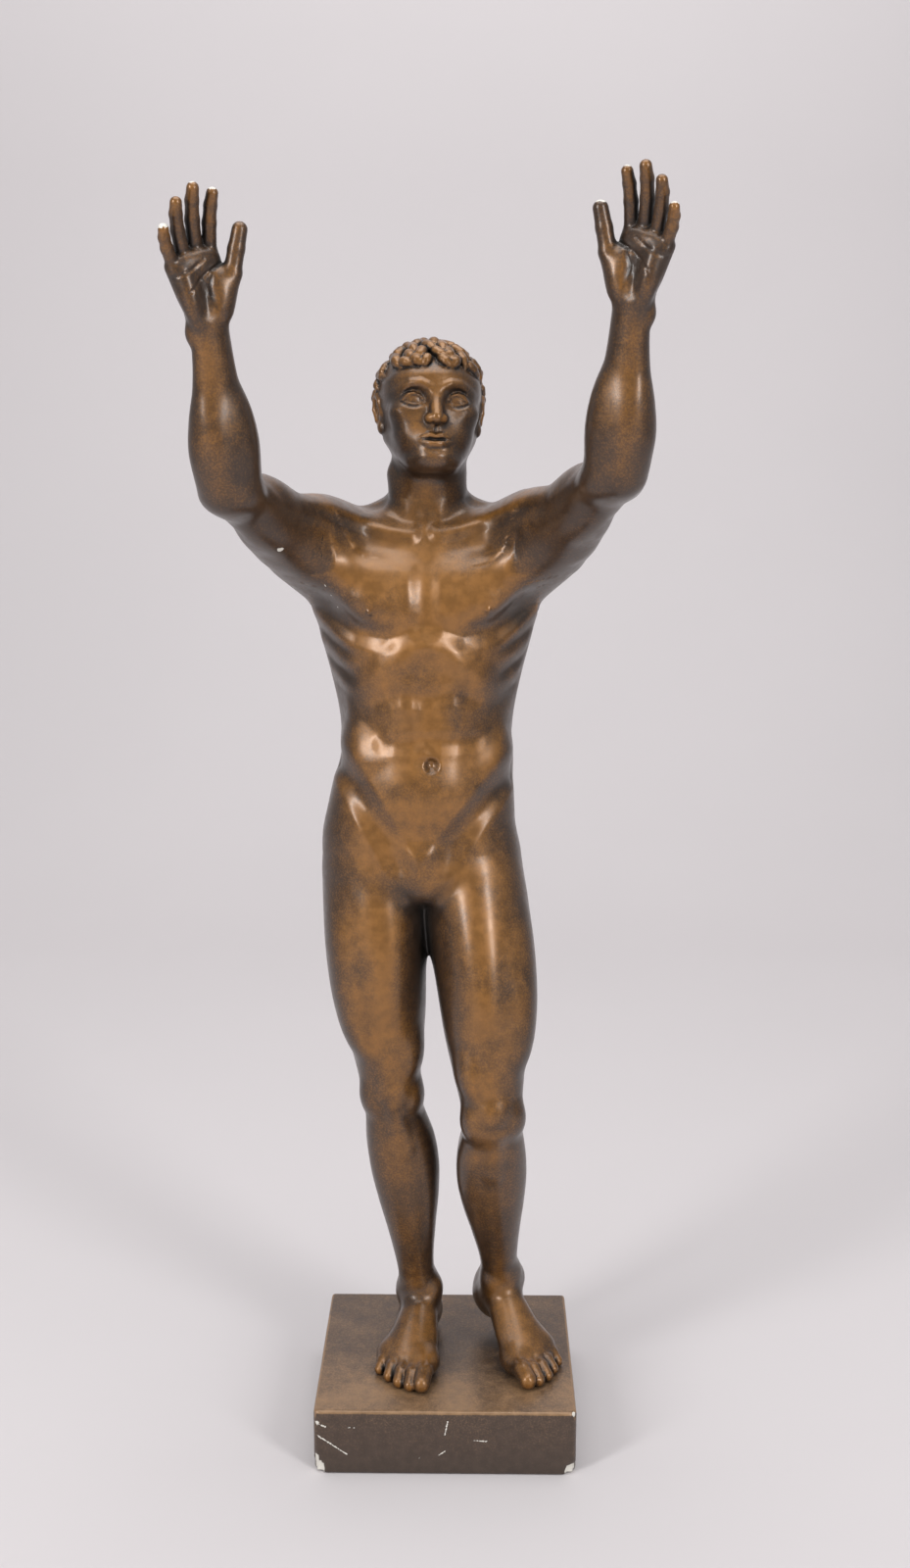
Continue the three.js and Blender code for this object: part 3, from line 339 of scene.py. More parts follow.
# Trunk
limb([-19, 10, 462], [-16, 12, 732], facing, [
    [0.00, 72, 68, 50, 50],
    [0.09, 75, 70, 53, 50],
    [0.18, 71, 69, 54, 46],
    [0.30, 64, 66, 54, 40],
    [0.41, 61, 63, 53, 38],
    [0.53, 65, 65, 55, 41],
    [0.64, 73, 71, 57, 46],
    [0.76, 76, 74, 52.5, 49],
    [0.84, 67, 67, 44.5, 46],
    [0.90, 52, 52, 35.5, 41],
    [0.95, 38, 38, 27, 34],
    [1.00, 24, 24, 19, 26],
], 6, 0.55, 1, 2.1)
# Shoulder girdle and neck
rod([-16, 16, 694], [-88, 10, 694], 25, 26, 20)
rod([-16, 16, 694], [58, 10, 699], 25, 26, 20)
limb([-16, 20, 694], [-14, 9, 770], ahead, [
    [0.0, 34, 34, 32, 33],
    [0.4, 28, 28, 28, 30],
    [1.0, 27, 27, 30, 33],
], 12)
rod([-22, 33, 728], [-68, 20, 708], 12, 14, 12)
rod([-8, 33, 728], [40, 20, 710], 12, 14, 12)
# Side muscles of the back, upper chest at the shoulders, shoulder blades, muscles beside the spine
sideMuscle = [[0, 5, 5, 5, 8], [0.4, 10, 10, 10, 18], [0.7, 13, 13, 13, 22], [1, 14, 14, 14, 20]]
limb([-72, 22, 566], [-88, 16, 676], [-0.6, 0.8, 0], sideMuscle, 20)
limb([38, 22, 566], [57, 16, 680], [0.6, 0.8, 0], sideMuscle, 20)
pairOval(chest, [50, 18, 42], [34, 17, 25], 20)
pairOval(chest, [42, -31, 14], [27, 13, 36], 18)
pairOval(chest, [58, -20, 34], [22, 18, 20], 16)
pairRod(chest, [13, -22, -128], [13, -29, -10], 13, 14, 14)
# Seat
oval([-56, 33, 455], [38, 37, 42], 16)
oval([15, 32, 447], [37, 36, 40], 16)
# Thighs, given for the left leg: inner side, outer side, front and back
thigh = [
    [0.00, 37, 39, 42, 42],
    [0.15, 38, 41.5, 46, 42],
    [0.32, 36.5, 42, 46, 40],
    [0.50, 34, 39, 43, 37],
    [0.70, 31, 33.5, 37, 33],
    [0.86, 26.5, 27, 28, 29],
    [1.00, 22.5, 22.5, 20, 25],
]
limb(hipL, kneeL, facing, thigh, 10)
limb(hipR, kneeR, facing, swapped(thigh), 10)
# Shins and calves
shin = [
    [0.00, 20, 20, 15, 22],
    [0.12, 22.5, 23.5, 18, 28],
    [0.25, 24.5, 29, 18.5, 33],
    [0.37, 24.5, 30, 18, 34.5],
    [0.51, 22, 27, 17, 32.5],
    [0.67, 18, 21, 15.5, 25],
    [0.84, 14.8, 15.5, 13.5, 18.5],
    [1.00, 14, 14, 12.5, 17],
]
limb(kneeL, ankleL, facing, swapped(shin), 6)
limb(kneeR, ankleR, facing, shin, 6)


def knee(hip, place, ankle, inner):
    above = Directions(place, [hip[k] - place[k] for k in range(3)], facing, inner)
    below = Directions(place, [place[k] - ankle[k] for k in range(3)], facing, inner)
    lump(below, [12, 6, -5], [12.5, 13, 17], 8)
    lump(below, [-11.5, 5, -5], [12, 12, 16], 8)
    lump(above, [1, 17, 3], [11.5, 7.6, 13.5], 6)
    bar(below, [0, 16.5, -8], [3, 12.6, -50], 4.8, 4.6, 8)
    bar(below, [3, 12.6, -50], [2, 7, -174], 4.6, 3.6, 7)
    lump(below, [10, -20, -62], [14, 16, 40], 9)
    lump(below, [-10, -18, -56], [13, 15, 36], 9)
    lump(above, [14, 14, 32], [12, 13, 20], 9)
    lump(above, [-14, 14, 52], [11, 14, 26], 10)
    bar(above, [0, 26, 80], [0, 18, 20], 9, 5.5, 10)
    lump(above, [0, 30, 118], [15, 15, 52], 14)
    lump(above, [-22, 14, 96], [17, 20, 56], 14)
    rod(above.at(14, -18, 34), below.at(15, -17, -10), 7, 6, 9)
    rod(above.at(-14, -18, 34), below.at(-16, -16, -8), 7, 6, 9)


def foot(heel, ball):
    # both frames stand on the sole under the ball of the foot, and the first one leans with the heel
    lump(heel, [0, -76, 16], [16, 17, 17], 10)
    shank = [[0, 15, 15, 15, 17], [1, 15.5, 15.5, 17, 20]]
    limb(heel.at(0, -62, 44), heel.at(0, -66, 16), heel.front, shank, 9)
    lump(heel, [12, -58, 42], [7, 9, 9], 7)
    lump(heel, [-12.5, -63, 37], [6.5, 8, 10], 7)
    limb(heel.at(2, -56, 28), heel.at(1, 0, 9), heel.up, [
        [0.00, 14, 14, 16, 14],
        [0.35, 17, 17, 14, 13],
        [0.70, 20, 20, 11.5, 9],
        [1.00, 20.5, 20.5, 9, 8.5],
    ], 8)
    bar(heel, [-9, -70, 9], [-17, -14, 8], 9.5, 8.5, 8)
    lump(ball, [13.5, 0, 9.5], [11.5, 14, 10], 6)
    lump(ball, [-17, -10, 7.5], [9, 14, 8], 6)
    bar(heel, [0, -76, 62], [0, -88, 22], 6.5, 7.5, 10)
    swell(heel.at(17, -34, 4), [14, 22, 11], -3.5, heel)
    for n in range(5):
        fan = 0.03 - 0.05 * n
        root = [14.5 - 8.4 * n, 6 + [0, 3, 0.5, -5, -12][n], 9 - 0.6 * n]
        long = [23, 20, 18.5, 16, 13.5][n]
        wide = [7.8, 5.6, 5.3, 5.0, 4.7][n]
        tip = [root[0] + fan * long, root[1] + long, wide * 0.88]
        mid = [root[0] + fan * long * 0.5, root[1] + long * 0.52, root[2] + 1.2]
        bar(ball, root, mid, wide * 1.02, wide * 0.9, 3)
        bar(ball, mid, tip, wide * 0.9, wide * 0.88, 1.5)


knee(hipL, kneeL, ankleL, -1)
knee(hipR, kneeR, ankleR, 1)
soleR = Directions([-30, -34, 52], sky, [-0.12, -0.99, 0])
foot(soleR, soleR)
soleL = Directions([66, -26, 52], sky, [0.4, -0.9, 0], -1)
foot(Directions(soleL.origin, [0.09, -0.2, 0.97], [0.4, -0.9, 0], -1), soleL)

# Arms: the upper arm's front is the biceps side
upperArm = [
    [0.00, 25, 25, 25, 26],
    [0.20, 24.5, 24.5, 24, 27],
    [0.45, 22.5, 22.5, 23, 26],
    [0.70, 20, 20, 20.5, 22.5],
    [0.90, 19.5, 19.5, 17, 18],
    [1.00, 18.5, 18.5, 15, 16.5],
]
limb(shoulderL, elbowL, sky, upperArm, 22)
limb(shoulderR, elbowR, sky, upperArm, 22)
# Forearms: inner side, outer side, palm side and back, given for the left arm
forearm = [
    [0.00, 14, 14.5, 14, 13.5],
    [0.20, 19, 22, 19, 17.5],
    [0.45, 17.5, 19.5, 16.5, 16.5],
    [0.75, 14.2, 14.5, 12, 12.3],
    [1.00, 12.8, 12.8, 10, 10],
]
palmL = [-0.62, -0.78, 0]
palmR = [0.62, -0.78, 0]
limb(elbowL, wristL, palmL, forearm, 15)
limb(elbowR, wristR, palmR, swapped(forearm), 15)


def armForms(shoulder, elbow, wrist, outer):
    # shoulder cap, biceps, triceps, elbow bones and the thick of the forearm
    upper = Directions(shoulder, [elbow[k] - shoulder[k] for k in range(3)], sky, outer)
    palmSide = [-outer * 0.62, -0.78, 0]
    lower = Directions(elbow, [wrist[k] - elbow[k] for k in range(3)], palmSide, outer)
    lump(upper, [0, 6, 6], [26, 24, 34], 22)
    lump(upper, [8, 4, 22], [19, 19, 34], 24)
    lump(upper, [0, 12, 86], [14, 13, 34], 7)
    lump(upper, [5, -13, 70], [15, 14.5, 44], 9)
    lump(upper, [-9, -12, 62], [12, 13, 38], 9)
    bar(lower, [1, -11, -8], [3, -11, 44], 7.5, 5.5, 7)
    lump(upper, [12.5, -2, 136], [6.5, 8, 10], 10)
    lump(upper, [-12.5, -2, 136], [6, 8, 9], 10)
    lump(lower, [9, 3, 30], [12.5, 15, 32], 12)
    lump(lower, [-8, 6, 32], [12, 13, 34], 11)
    lump(lower, [-14, 0, 22], [8, 10, 34], 8)
    lump(lower, [9.8, -5, 107], [4.4, 5, 6], 6)


def finger(palm, knuckle, fan, curl, lengths, thick):
    at = palm.at(*knuckle)
    bend = 0.1
    for i in range(len(lengths)):
        bend += curl
        way = palm.way(sin(fan) * cos(bend), sin(bend), cos(fan) * cos(bend))
        end = at + way * lengths[i]
        rod(at, end, thick * (1 - 0.07 * i), thick * (0.93 - 0.07 * i), 1.6)
        at = end


def hand(wrist, way, palmWay, inner):
    # inner is the side of the thumb, seen from the palm's frame
    palm = Directions(wrist, way, palmWay, inner)
    limb(palm.at(0, -1, 5), palm.at(0, -1.5, 39), palmWay, [
        [0.0, 12, 12, 8, 8],
        [0.4, 16, 16, 7.5, 7.5],
        [1.0, 18.5, 18.5, 6, 6.2],
    ], 7, 1.0, 0.5, 2.4)
    knuckles = [[14.5, -2, 42], [5, -2.6, 44.5], [-4.8, -2.2, 42.5], [-13.5, -1.5, 38.5]]
    for k in knuckles:
        bar(palm, [k[0] * 0.5, -4.6, 8], [k[0], k[1] - 1.2, k[2]], 3.6, 4.6, 4)
    lump(palm, [0, 1.6, 36], [17.5, 5.5, 8.5], 5)
    lump(palm, [10, 5, 17], [8, 7.5, 15.5], 4.5)
    lump(palm, [-10.5, 4, 19], [6.8, 6.4, 18], 4.5)
    line(palm, [[17, 33], [8, 31.5], [2, 22], [1.5, 8]], 2, -0.6, palmWay)
    line(palm, [[17, 34], [2, 30], [-13, 22]], 1.8, -0.5, palmWay)
    line(palm, [[4, 39], [-6, 35], [-18, 33]], 1.8, -0.5, palmWay)
    finger(palm, knuckles[0], 0.16, 0.13, [17, 11, 8], 4.9)
    finger(palm, knuckles[1], 0.03, 0.15, [19, 12.5, 8.5], 5.0)
    finger(palm, knuckles[2], -0.12, 0.18, [17.5, 11.5, 8.5], 4.8)
    finger(palm, knuckles[3], -0.30, 0.20, [13.5, 8.5, 7.5], 4.3)
    bar(palm, [8, 4, 8], [21, 8, 26], 8.5, 6.5, 6)
    finger(palm, [21, 8, 26], 0.42, 0.02, [15, 12], 5.9)


armForms(shoulderL, elbowL, wristL, 1)
armForms(shoulderR, elbowR, wristR, -1)
hand(wristL, [0.2, -0.22, 0.95], palmL, -1)
hand(wristR, [-0.2, -0.22, 0.95], palmR, 1)
# Folds in front of and behind the armpits
rod(chest.at(54, 34, 24), [84, -38, 706], 15, 13, 24)
rod(chest.at(-54, 34, 24), [-113, -36, 702], 15, 13, 24)
rod(chest.at(66, -2, 10), [82, -18, 694], 13, 14, 16)
rod(chest.at(-66, -2, 10), [-112, -18, 690], 13, 14, 16)
# Head, looking ahead and a little up
head = Directions([-13, 2, 797], [0.01, 0.17, 0.98], [0.13, -0.98, 0.17])
lump(head, [0, -8, 8], [36, 43, 37], 10)
limb(head.at(0, 8, 14), head.at(0, 13, -39), head.front, [
    [0.00, 32.5, 32.5, 27, 22],
    [0.35, 31, 31, 25.5, 24],
    [0.60, 29.5, 29.5, 25, 22],
    [0.84, 24, 24, 24, 16],
    [1.00, 17, 17, 22.5, 10],
], 9, 0.4, 0.6, 2)
# Jaw, chin, cheekbones and brow
pairRod(head, [27, -7, -20], [13, 20, -39], 5, 5.5, 15)
lump(head, [0, 27.5, -39.5], [12.5, 10.5, 9.5], 9)
pairOval(head, [16.5, 20, -21], [10, 11, 12], 9)
pairOval(head, [22, 22, -8], [9, 9, 6], 9)
pairSwell(head, [15, 36, 1], [12.5, 15, 9], -6)
pairLine(head, [[4, 8], [11, 11.5], [19, 11.5], [27, 7]], 4.5, [1, 2, 1.9, 0.8], head.front)
# Nose
limb(head.at(0, 31, 9), head.at(0, 41.5, -13.5), head.front, [
    [0.0, 5.2, 5.2, 5.2, 6],
    [0.45, 4.6, 4.6, 4.6, 8],
    [1.0, 4.5, 4.5, 4.6, 9],
], 4, 0.6, 0.8)
pairOval(head, [5, 38.5, -14.4], [3, 4.8, 3], 2.5)
pairSwell(head, [3.6, 42.5, -18.6], [2, 5, 2], -2)
# Eyes: ball, upper lid and lower lid
pairOval(head, [15.3, 25, 0.4], [10.2, 8, 8.4], 1.5)
for points, radius, heights in [
    ([[8.4, -1], [11, 2.6], [15.5, 4.3], [20, 3], [23.6, -0.8]], 1.7, [0.6, 1.5, 1.7, 1.5, 0.8]),
    ([[8.6, -1.4], [12, -3.4], [16, -4], [20, -3], [23.4, -1]], 1.5, [0.4, 0.9, 1, 0.9, 0.5]),
    ([[8.5, 3.5], [12, 6.6], [17, 7.2], [22, 5.2], [25.5, 1]], 1.6, [-0.2, -0.7, -0.8, -0.7, -0.2]),
]:
    pairLine(head, points, radius, heights, head.front)
# Mouth
lump(head, [0, 27.5, -27.5], [13, 9.5, 10], 7)
for points, radius, heights in [
    ([[-10.5, -28.4], [-4.5, -25.6], [0, -26.5], [4.5, -25.6], [10.5, -28.4]],
     2.8, [0.4, 1.9, 1.5, 1.9, 0.4]),
    ([[-9.5, -29.6], [-4, -32], [0, -32.2], [4, -32], [9.5, -29.6]], 3.6, [0.4, 1.8, 2, 1.8, 0.4]),
    ([[-11.4, -28.6], [-4, -28.8], [0, -29.2], [4, -28.8], [11.4, -28.6]],
     1.5, [-0.7, -1.4, -1.2, -1.4, -0.7]),
    ([[0, -20], [0, -24.5]], 2, -0.9),
    ([[-8, -35.4], [0, -36], [8, -35.4]], 4.6, [-0.3, -1.3, -0.3]),
]:
    line(head, points, radius, heights, head.front)
# Muscles of the neck that run down to the notch between the collar bones
pairRod(chest, [19, 4, 100], [7, 22, 62], 7, 5.5, 10)


def strand(places, first, last, blend):
    # tapering chain of rods through the places
    steps = len(places) - 1
    for i in range(steps):
        a = first + (last - first) * i / steps
        b = first + (last - first) * (i + 1) / steps
        rod(places[i], places[i + 1], a, b, blend)


def ear(side):
    lump(head, [side * 34, -9, -3], [3.5, 8.5, 13], 4)
    rim = [[35.5, -3, -4], [37.5, -3, 4], [38.5, -8, 9.5], [39.5, -14, 7.5],
           [39.5, -16, 0], [37.5, -13, -8], [35.5, -8.5, -13]]
    strand([head.at(*sided(side, p)) for p in rim], 1.9, 2.1, 1)
    lump(head, [side * 35.5, -7, -14], [2.6, 4, 4.6], 2)
    swell(head.at(side * 38, -9, 1), [5, 5, 8], -2.6, head)
    lump(head, [side * 34.5, -2.5, -4], [2.6, 2.4, 3.6], 1.5)


def lock(polar, turn, hook, long, thick):
    # one curl: polar angle from the crown, turn about it, sideways hook, length and thickness
    places = []
    for i in range(5):
        a = (polar + long * i / 4) * pi / 180
        b = (turn + hook * (i / 4) ** 1.6 / max(sin(a), 0.4)) * pi / 180
        out = [1.0, 1.055, 1.065, 1.05, 1.015][i]
        c = [sin(a) * sin(b), sin(a) * cos(b), cos(a)]
        tilt = 0.34
        back = c[1] * cos(tilt) - c[2] * sin(tilt)
        high = c[1] * sin(tilt) + c[2] * cos(tilt)
        places.append(head.at(36.5 * out * c[0], -8 + 43.5 * out * back, 8 + 37.5 * out * high))
    for i in range(4):
        thin = [0.8, 1, 0.95, 0.74, 0.42]
        rod(places[i], places[i + 1], thick * thin[i], thick * thin[i + 1], 0.15)


def hairReach(turn):
    # polar angle at which the hair ends: brow, temple, ear, nape
    wide = abs((turn + 180) % 360 - 180)
    if wide < 50:
        return 87 - 0.14 * wide
    if wide < 78:
        return 80 + 0.02 * (wide - 50)
    if wide < 105:
        return 80.6 + 0.6 * (wide - 78)
    return 97 + 0.2 * (wide - 105)


ear(-1)
ear(1)
lump(head, [0, -13, 12], [37.5, 41, 36.5], 5)
for ring in range(8):
    polar = 3 + 14 * ring
    count = max(round(23 * sin((polar + 8) * pi / 180)), 4)
    for n in range(count):
        turn = 360 * (n + 0.5 * (ring % 2) + 0.12 * sin(7.1 * n + ring)) / count
        room = hairReach(turn) - polar
        if room < 8:
            continue
        hook = 15 * sin(2.4 * n + 1.7 * ring + 0.6) + 8
        lock(polar, turn, hook, min(room, 22), 4.3 + 0.4 * sin(3.7 * n + ring))

# Chest: two broad flat muscles, the furrow between them and their lower edges
pairSwell(chest, [33, 54, 18], [46, 28, 36], 6)
pairSwell(chest, [44, 54, 4], [27, 22, 20], 3)
pairLine(chest, [[8, -10], [28, -15], [50, -12], [68, 4], [82, 26]], 13, [-1, -2.6, -3, -2, 0])
line(chest, [[0, 54], [0, 22], [0, -10]], 13, [-1, -2.8, -2.2])
pairLine(chest, [[9, 58], [26, 61], [46, 68], [66, 79], [80, 86]], 9, [2.4, 2.4, 2.2, 1.6, 0.4])
pairLine(chest, [[22, 73], [42, 80], [60, 90]], 11, [-1, -1.8, -0.8])
swell(chest.at(0, 30, 68), [11, 18, 11], -1.6, chest)
pairSwell(chest, [34, 40, 50], [26, 22, 13], -1)
pairSwell(chest, [43, 52, 2], [6, 24, 6], 0.7)
pairSwell(chest, [43, 52, 2], [3.2, 24, 3.2], 1.3)
# Rib arch, belly, flanks and the teeth of the side muscle
pairLine(chest, [[3, -20], [16, -27], [30, -38], [44, -52], [54, -68]], 15, [1.4, 2.2, 2.6, 2.2, 0.5])
pairLine(chest, [[82, -2], [66, -14], [52, -20]], 8, [1.2, 1.6, 0.2])
pairLine(chest, [[80, -20], [64, -32], [50, -39]], 8, [1.4, 1.8, 0.2])
pairLine(chest, [[78, -38], [62, -50], [50, -57]], 8, [1.2, 1.6, 0.2])
swell(chest.at(0, 60, -48), [30, 22, 22], -1.6, chest)
line(chest, [[0, -34], [0, -68], [-2, -106]], 12, [-1, -2.4, -1.6])
pairSwell(chest, [20, 60, -62], [16, 20, 40], 2.6)
pairLine(chest, [[5, -60], [20, -57], [33, -62]], 10, -1.3)
pairLine(chest, [[5, -92], [20, -94], [33, -94]], 10, -1.2)
pairLine(pelvis, [[56, 112], [46, 86], [40, 62], [38, 40]], 17, [-0.6, -2.8, -3, -0.6])
swell(pelvis.at(0, 56, 41), [7, 18, 7.5], -4.5, pelvis)
line(pelvis, [[-8, 46], [0, 49.5], [8, 46]], 4, [0.2, 1.2, 0.2])
swell(pelvis.at(0, 54, 20), [46, 26, 32], 4, pelvis)
pairSwell(pelvis, [57, 26, 45], [32, 42, 26], 4)
# Creases at the top of the thighs and the lower edge of the belly
creases = [[78, 50], [66, 37], [52, 20], [38, 1], [25, -18], [13, -37]]
pairLine(pelvis, creases, 14, [-0.3, -3, -4, -4, -4.4, -3.6])
line(pelvis, [[-40, 4], [-22, -11], [0, -16], [22, -11], [40, 4]], 13, [0, -1.6, -2.4, -1.6, 0])
swell(pelvis.at(0, 50, -32), [24, 20, 16], 3, pelvis)
# Smooth closed form at the groin
oval(pelvis.at(0, 40, -46), [12, 12, 18], 16)
# Back furrow, blades, flanks and seat
line(chest, [[0, 42], [0, -10], [0, -70], [0, -132]], 14, [-2.5, -4.5, -5, -3], behind)
pairLine(chest, [[22, 46], [22, 12], [32, -20], [52, -26]], 12, [-0.4, -2, -1.8, -0.6], behind)
pairLine(chest, [[24, 40], [46, 46], [66, 54], [80, 60]], 10, [0.2, 1.6, 1.4, 0.2], behind)
pairLine(chest, [[62, -30], [44, -64], [30, -104]], 15, [-0.3, -1.8, -0.4], behind)
line(pelvis, [[0, -8], [1, -40], [2, -82]], 12, [-1.5, -7, -9], behind)
pairSwell(pelvis, [19, -34, 8], [9, 16, 9], -2.5)
pairSwell(pelvis, [66, -10, -38], [16, 22, 24], -2.5)
# Places where handling has knocked off the paint: place in millimetres and reach
chipMarks = [
    ([97, -155, 923], 5.5),
    ([139.6, -190, 919], 4.5),
    ([112.5, -167, 943], 3.6),
    ([-145.3, -164, 930], 4.6),
    ([-172.8, -188, 905], 5),
    ([-156, -175.5, 932], 3.4),
    ([-116, -77, 700], 3.4),
]

# Scratches through the paint: start, end and half width in millimetres
figureScratches = [
    ([-116, -77.5, 702], [-118, -81, 697], 0.8),
    ([-84, -33.5, 664], [-84.4, -34, 662], 0.6),
    ([-80, -27, 655], [-80.2, -27, 654], 0.55),
    ([-88, -40.5, 672], [-87.6, -40, 671], 0.5),
]
figureCracks = [
    ([-88, -50.5, 708], [-90.4, -52.5, 700], 0.7),
    ([-90.4, -52.5, 700], [-89, -50.5, 692], 0.6),
]
plinthScratches = [
    ([-96.9, -94, 32.0], [-86.0, -94, 24.6], 0.55),
    ([-86.0, -94, 24.6], [-74.7, -94, 16.5], 0.45),
    ([-97.5, -94, 41.8], [-90.9, -94, 39.4], 0.6),
    ([-73.8, -94, 38.7], [-72.4, -94, 38.8], 0.5),
    ([-69.4, -94, 38.8], [-68.5, -94, 38.8], 0.45),
    ([2.1, -94, 44.3], [-0.1, -94, 33.6], 0.5),
    ([22.2, -94, 28.9], [31.9, -94, 28.2], 0.45),
    ([-4.5, -94, 16.3], [-0.1, -94, 19.7], 0.4),
    ([-19.6, -94, 13.7], [-19.5, -94, 13.7], 0.5),
]
# Where the feet stand; the plinth top is painted darker round them
footMarks = [
    ([-26, 0, 52], 22),
    ([-30, -34, 52], 26),
    ([66, -26, 52], 26),
    ([50, 14, 52], 18),
]


def gridOf(counts):
    return np.stack(np.meshgrid(*[np.arange(n) for n in counts], indexing="ij"), -1).reshape(-1, 3)


def findSkin():
    # the cells round the skin are filled block by block, and the skin lies where the distance is nought
    cell, cells, far = skinSettings["cell"], skinSettings["blockCells"], skinSettings["far"]
    solid = [f for f in forms if f["kind"] in ("oval", "limb")]
    low = np.min([f["low"] for f in solid], 0) - 2 * cell
    high = np.max([f["high"] for f in solid], 0) + 2 * cell
    block = cell * cells
    counts = np.ceil((high - low) / block).astype(int)
    index = gridOf(counts)
    centres = low + (index + 0.5) * block - 0.5 * cell
    rough = skinDistance(centres[:, None, :], 0.5 * block)[:, 0]
    near = np.abs(rough) < skinSettings["nearShare"] * block + skinSettings["nearMore"]
    values = np.where(rough < 0, -far, far).astype(np.float32)
    values = np.broadcast_to(values[:, None], (len(index), cells**3)).copy()
    steps = gridOf([cells] * 3) * cell
    chosen = np.nonzero(near)[0]
    for part in np.array_split(chosen, max(len(chosen) // skinSettings["batch"], 1)):
        groups = low + index[part][:, None, :] * block + steps
        values[part] = np.clip(skinDistance(groups), -far, far)
    values = values.reshape(*counts, cells, cells, cells).transpose(0, 3, 1, 4, 2, 5)
    values = np.ascontiguousarray(values.reshape(counts * cells))
    grid = openvdb.FloatGrid(far)
    grid.copyFromArray(values)
    points, quads = grid.convertToQuads(0.0)
    print("skin found:", len(chosen), "blocks,", len(quads), "faces")
    return low + points.astype(float) * cell, quads.astype(np.int32)


def skinNormals(places):
    # slope of the distance, from four corners of a small tetrahedron
    step = skinSettings["normalStep"]
    total = np.zeros_like(places)
    for corner in ((1, 1, 1), (1, -1, -1), (-1, 1, -1), (-1, -1, 1)):
        way = np.array(corner, float)
        total += skinDistanceAt(places + way * step)[:, None] * way
    return total / np.maximum(np.linalg.norm(total, axis=1, keepdims=True), 1e-9)


def meshFrom(name, points, faces):
    mesh = bpy.data.meshes.new(name)
    mesh.vertices.add(len(points))
    mesh.vertices.foreach_set("co", np.ascontiguousarray(points, np.float32).ravel())
    mesh.loops.add(faces.size)
    mesh.loops.foreach_set("vertex_index", faces.ravel())
    mesh.polygons.add(len(faces))
    mesh.polygons.foreach_set("loop_start", np.arange(len(faces), dtype=np.int32) * faces.shape[1])
    mesh.update(calc_edges=True)
    mesh.validate()
    thing = bpy.data.objects.new(name, mesh)
    bpy.context.scene.collection.objects.link(thing)
    return thing


def bake(thing):
    # the evaluated result of the live modifiers becomes the piece's own mesh
    graph = bpy.context.evaluated_depsgraph_get()
    mesh = bpy.data.meshes.new_from_object(thing.evaluated_get(graph), depsgraph=graph)
    thing.modifiers.clear()
    old = thing.data
    thing.data = mesh
    mesh.name = thing.name
    bpy.data.meshes.remove(old)


def placesOf(mesh):
    flat = np.empty(len(mesh.vertices) * 3, np.float32)
    mesh.vertices.foreach_get("co", flat)
    return flat.reshape(-1, 3).astype(float)


def setShare(mesh, name, values):
    layer = mesh.attributes.new(name, "FLOAT", "POINT")
    layer.data.foreach_set("value", np.clip(values, 0, 1).astype(np.float32))


# Gold rub, with painted light added: what faces forwards or up is made more gold, most of all on the trunk;
# the marks carry painted light too: each mark gives its place and reach in millimetres, and its strength
goldRubAndLight = {"anywhere": 0.03, "front": 0.8, "up": 0.5, "focus": 2.6, "elsewhere": 0.5, "edgeFade": 0.35}
rubAndLightMarks = {
    "trunk": ([-18, -30, 590], [150, 120, 190], 1.1),
    "thighs": ([-18, -30, 400], [140, 120, 170], 1.0),
    "knees": ([-6, -50, 272], [90, 70, 90], 0.85),
    "head": ([-13, -10, 825], [70, 80, 70], 0.95),
    "shoulders": ([-16, -60, 725], [190, 110, 60], 0.95),
    "forearms": ([-18, -150, 810], [220, 90, 120], 0.9),
    "feet": ([18, -20, 66], [120, 100, 62], 1.15),
}


def makeFigure():
    points, faces = findSkin()
    a, b, c = (points[faces[:, k]] for k in range(3))
    if (a * np.cross(b, c)).sum() < 0:       # an inside-out skin has a volume below nought
        faces = faces[:, ::-1].copy()
    thing = meshFrom("figureSkin", points * mm, faces)
    thin = thing.modifiers.new("thin", "DECIMATE")
    thin.ratio = min(skinSettings["faces"] / (2 * len(faces)), 1.0)
    bake(thing)
    mesh = thing.data
    places = placesOf(mesh) / mm
    most = skinSettings["settle"]
    off = np.clip(skinDistanceAt(places), -most, most)
    places -= skinNormals(places) * off[:, None]
    places[:, 2] = np.maximum(places[:, 2], skinSettings["soleLevel"])
    mesh.vertices.foreach_set("co", (places * mm).astype(np.float32).ravel())
    normals = skinNormals(places)
    mesh.polygons.foreach_set("use_smooth", np.ones(len(mesh.polygons), bool))
    mesh.update()
    mesh.normals_split_custom_set_from_vertices(normals.tolist())
    print("figure:", len(mesh.polygons), "faces")
    markWearAndPaintedLight(mesh, places, normals)
    return thing


def nearness(places, at, reach):
    v = (places - np.asarray(at, float)) / np.asarray(reach, float)
    return np.maximum(1 - (v * v).sum(1), 0)


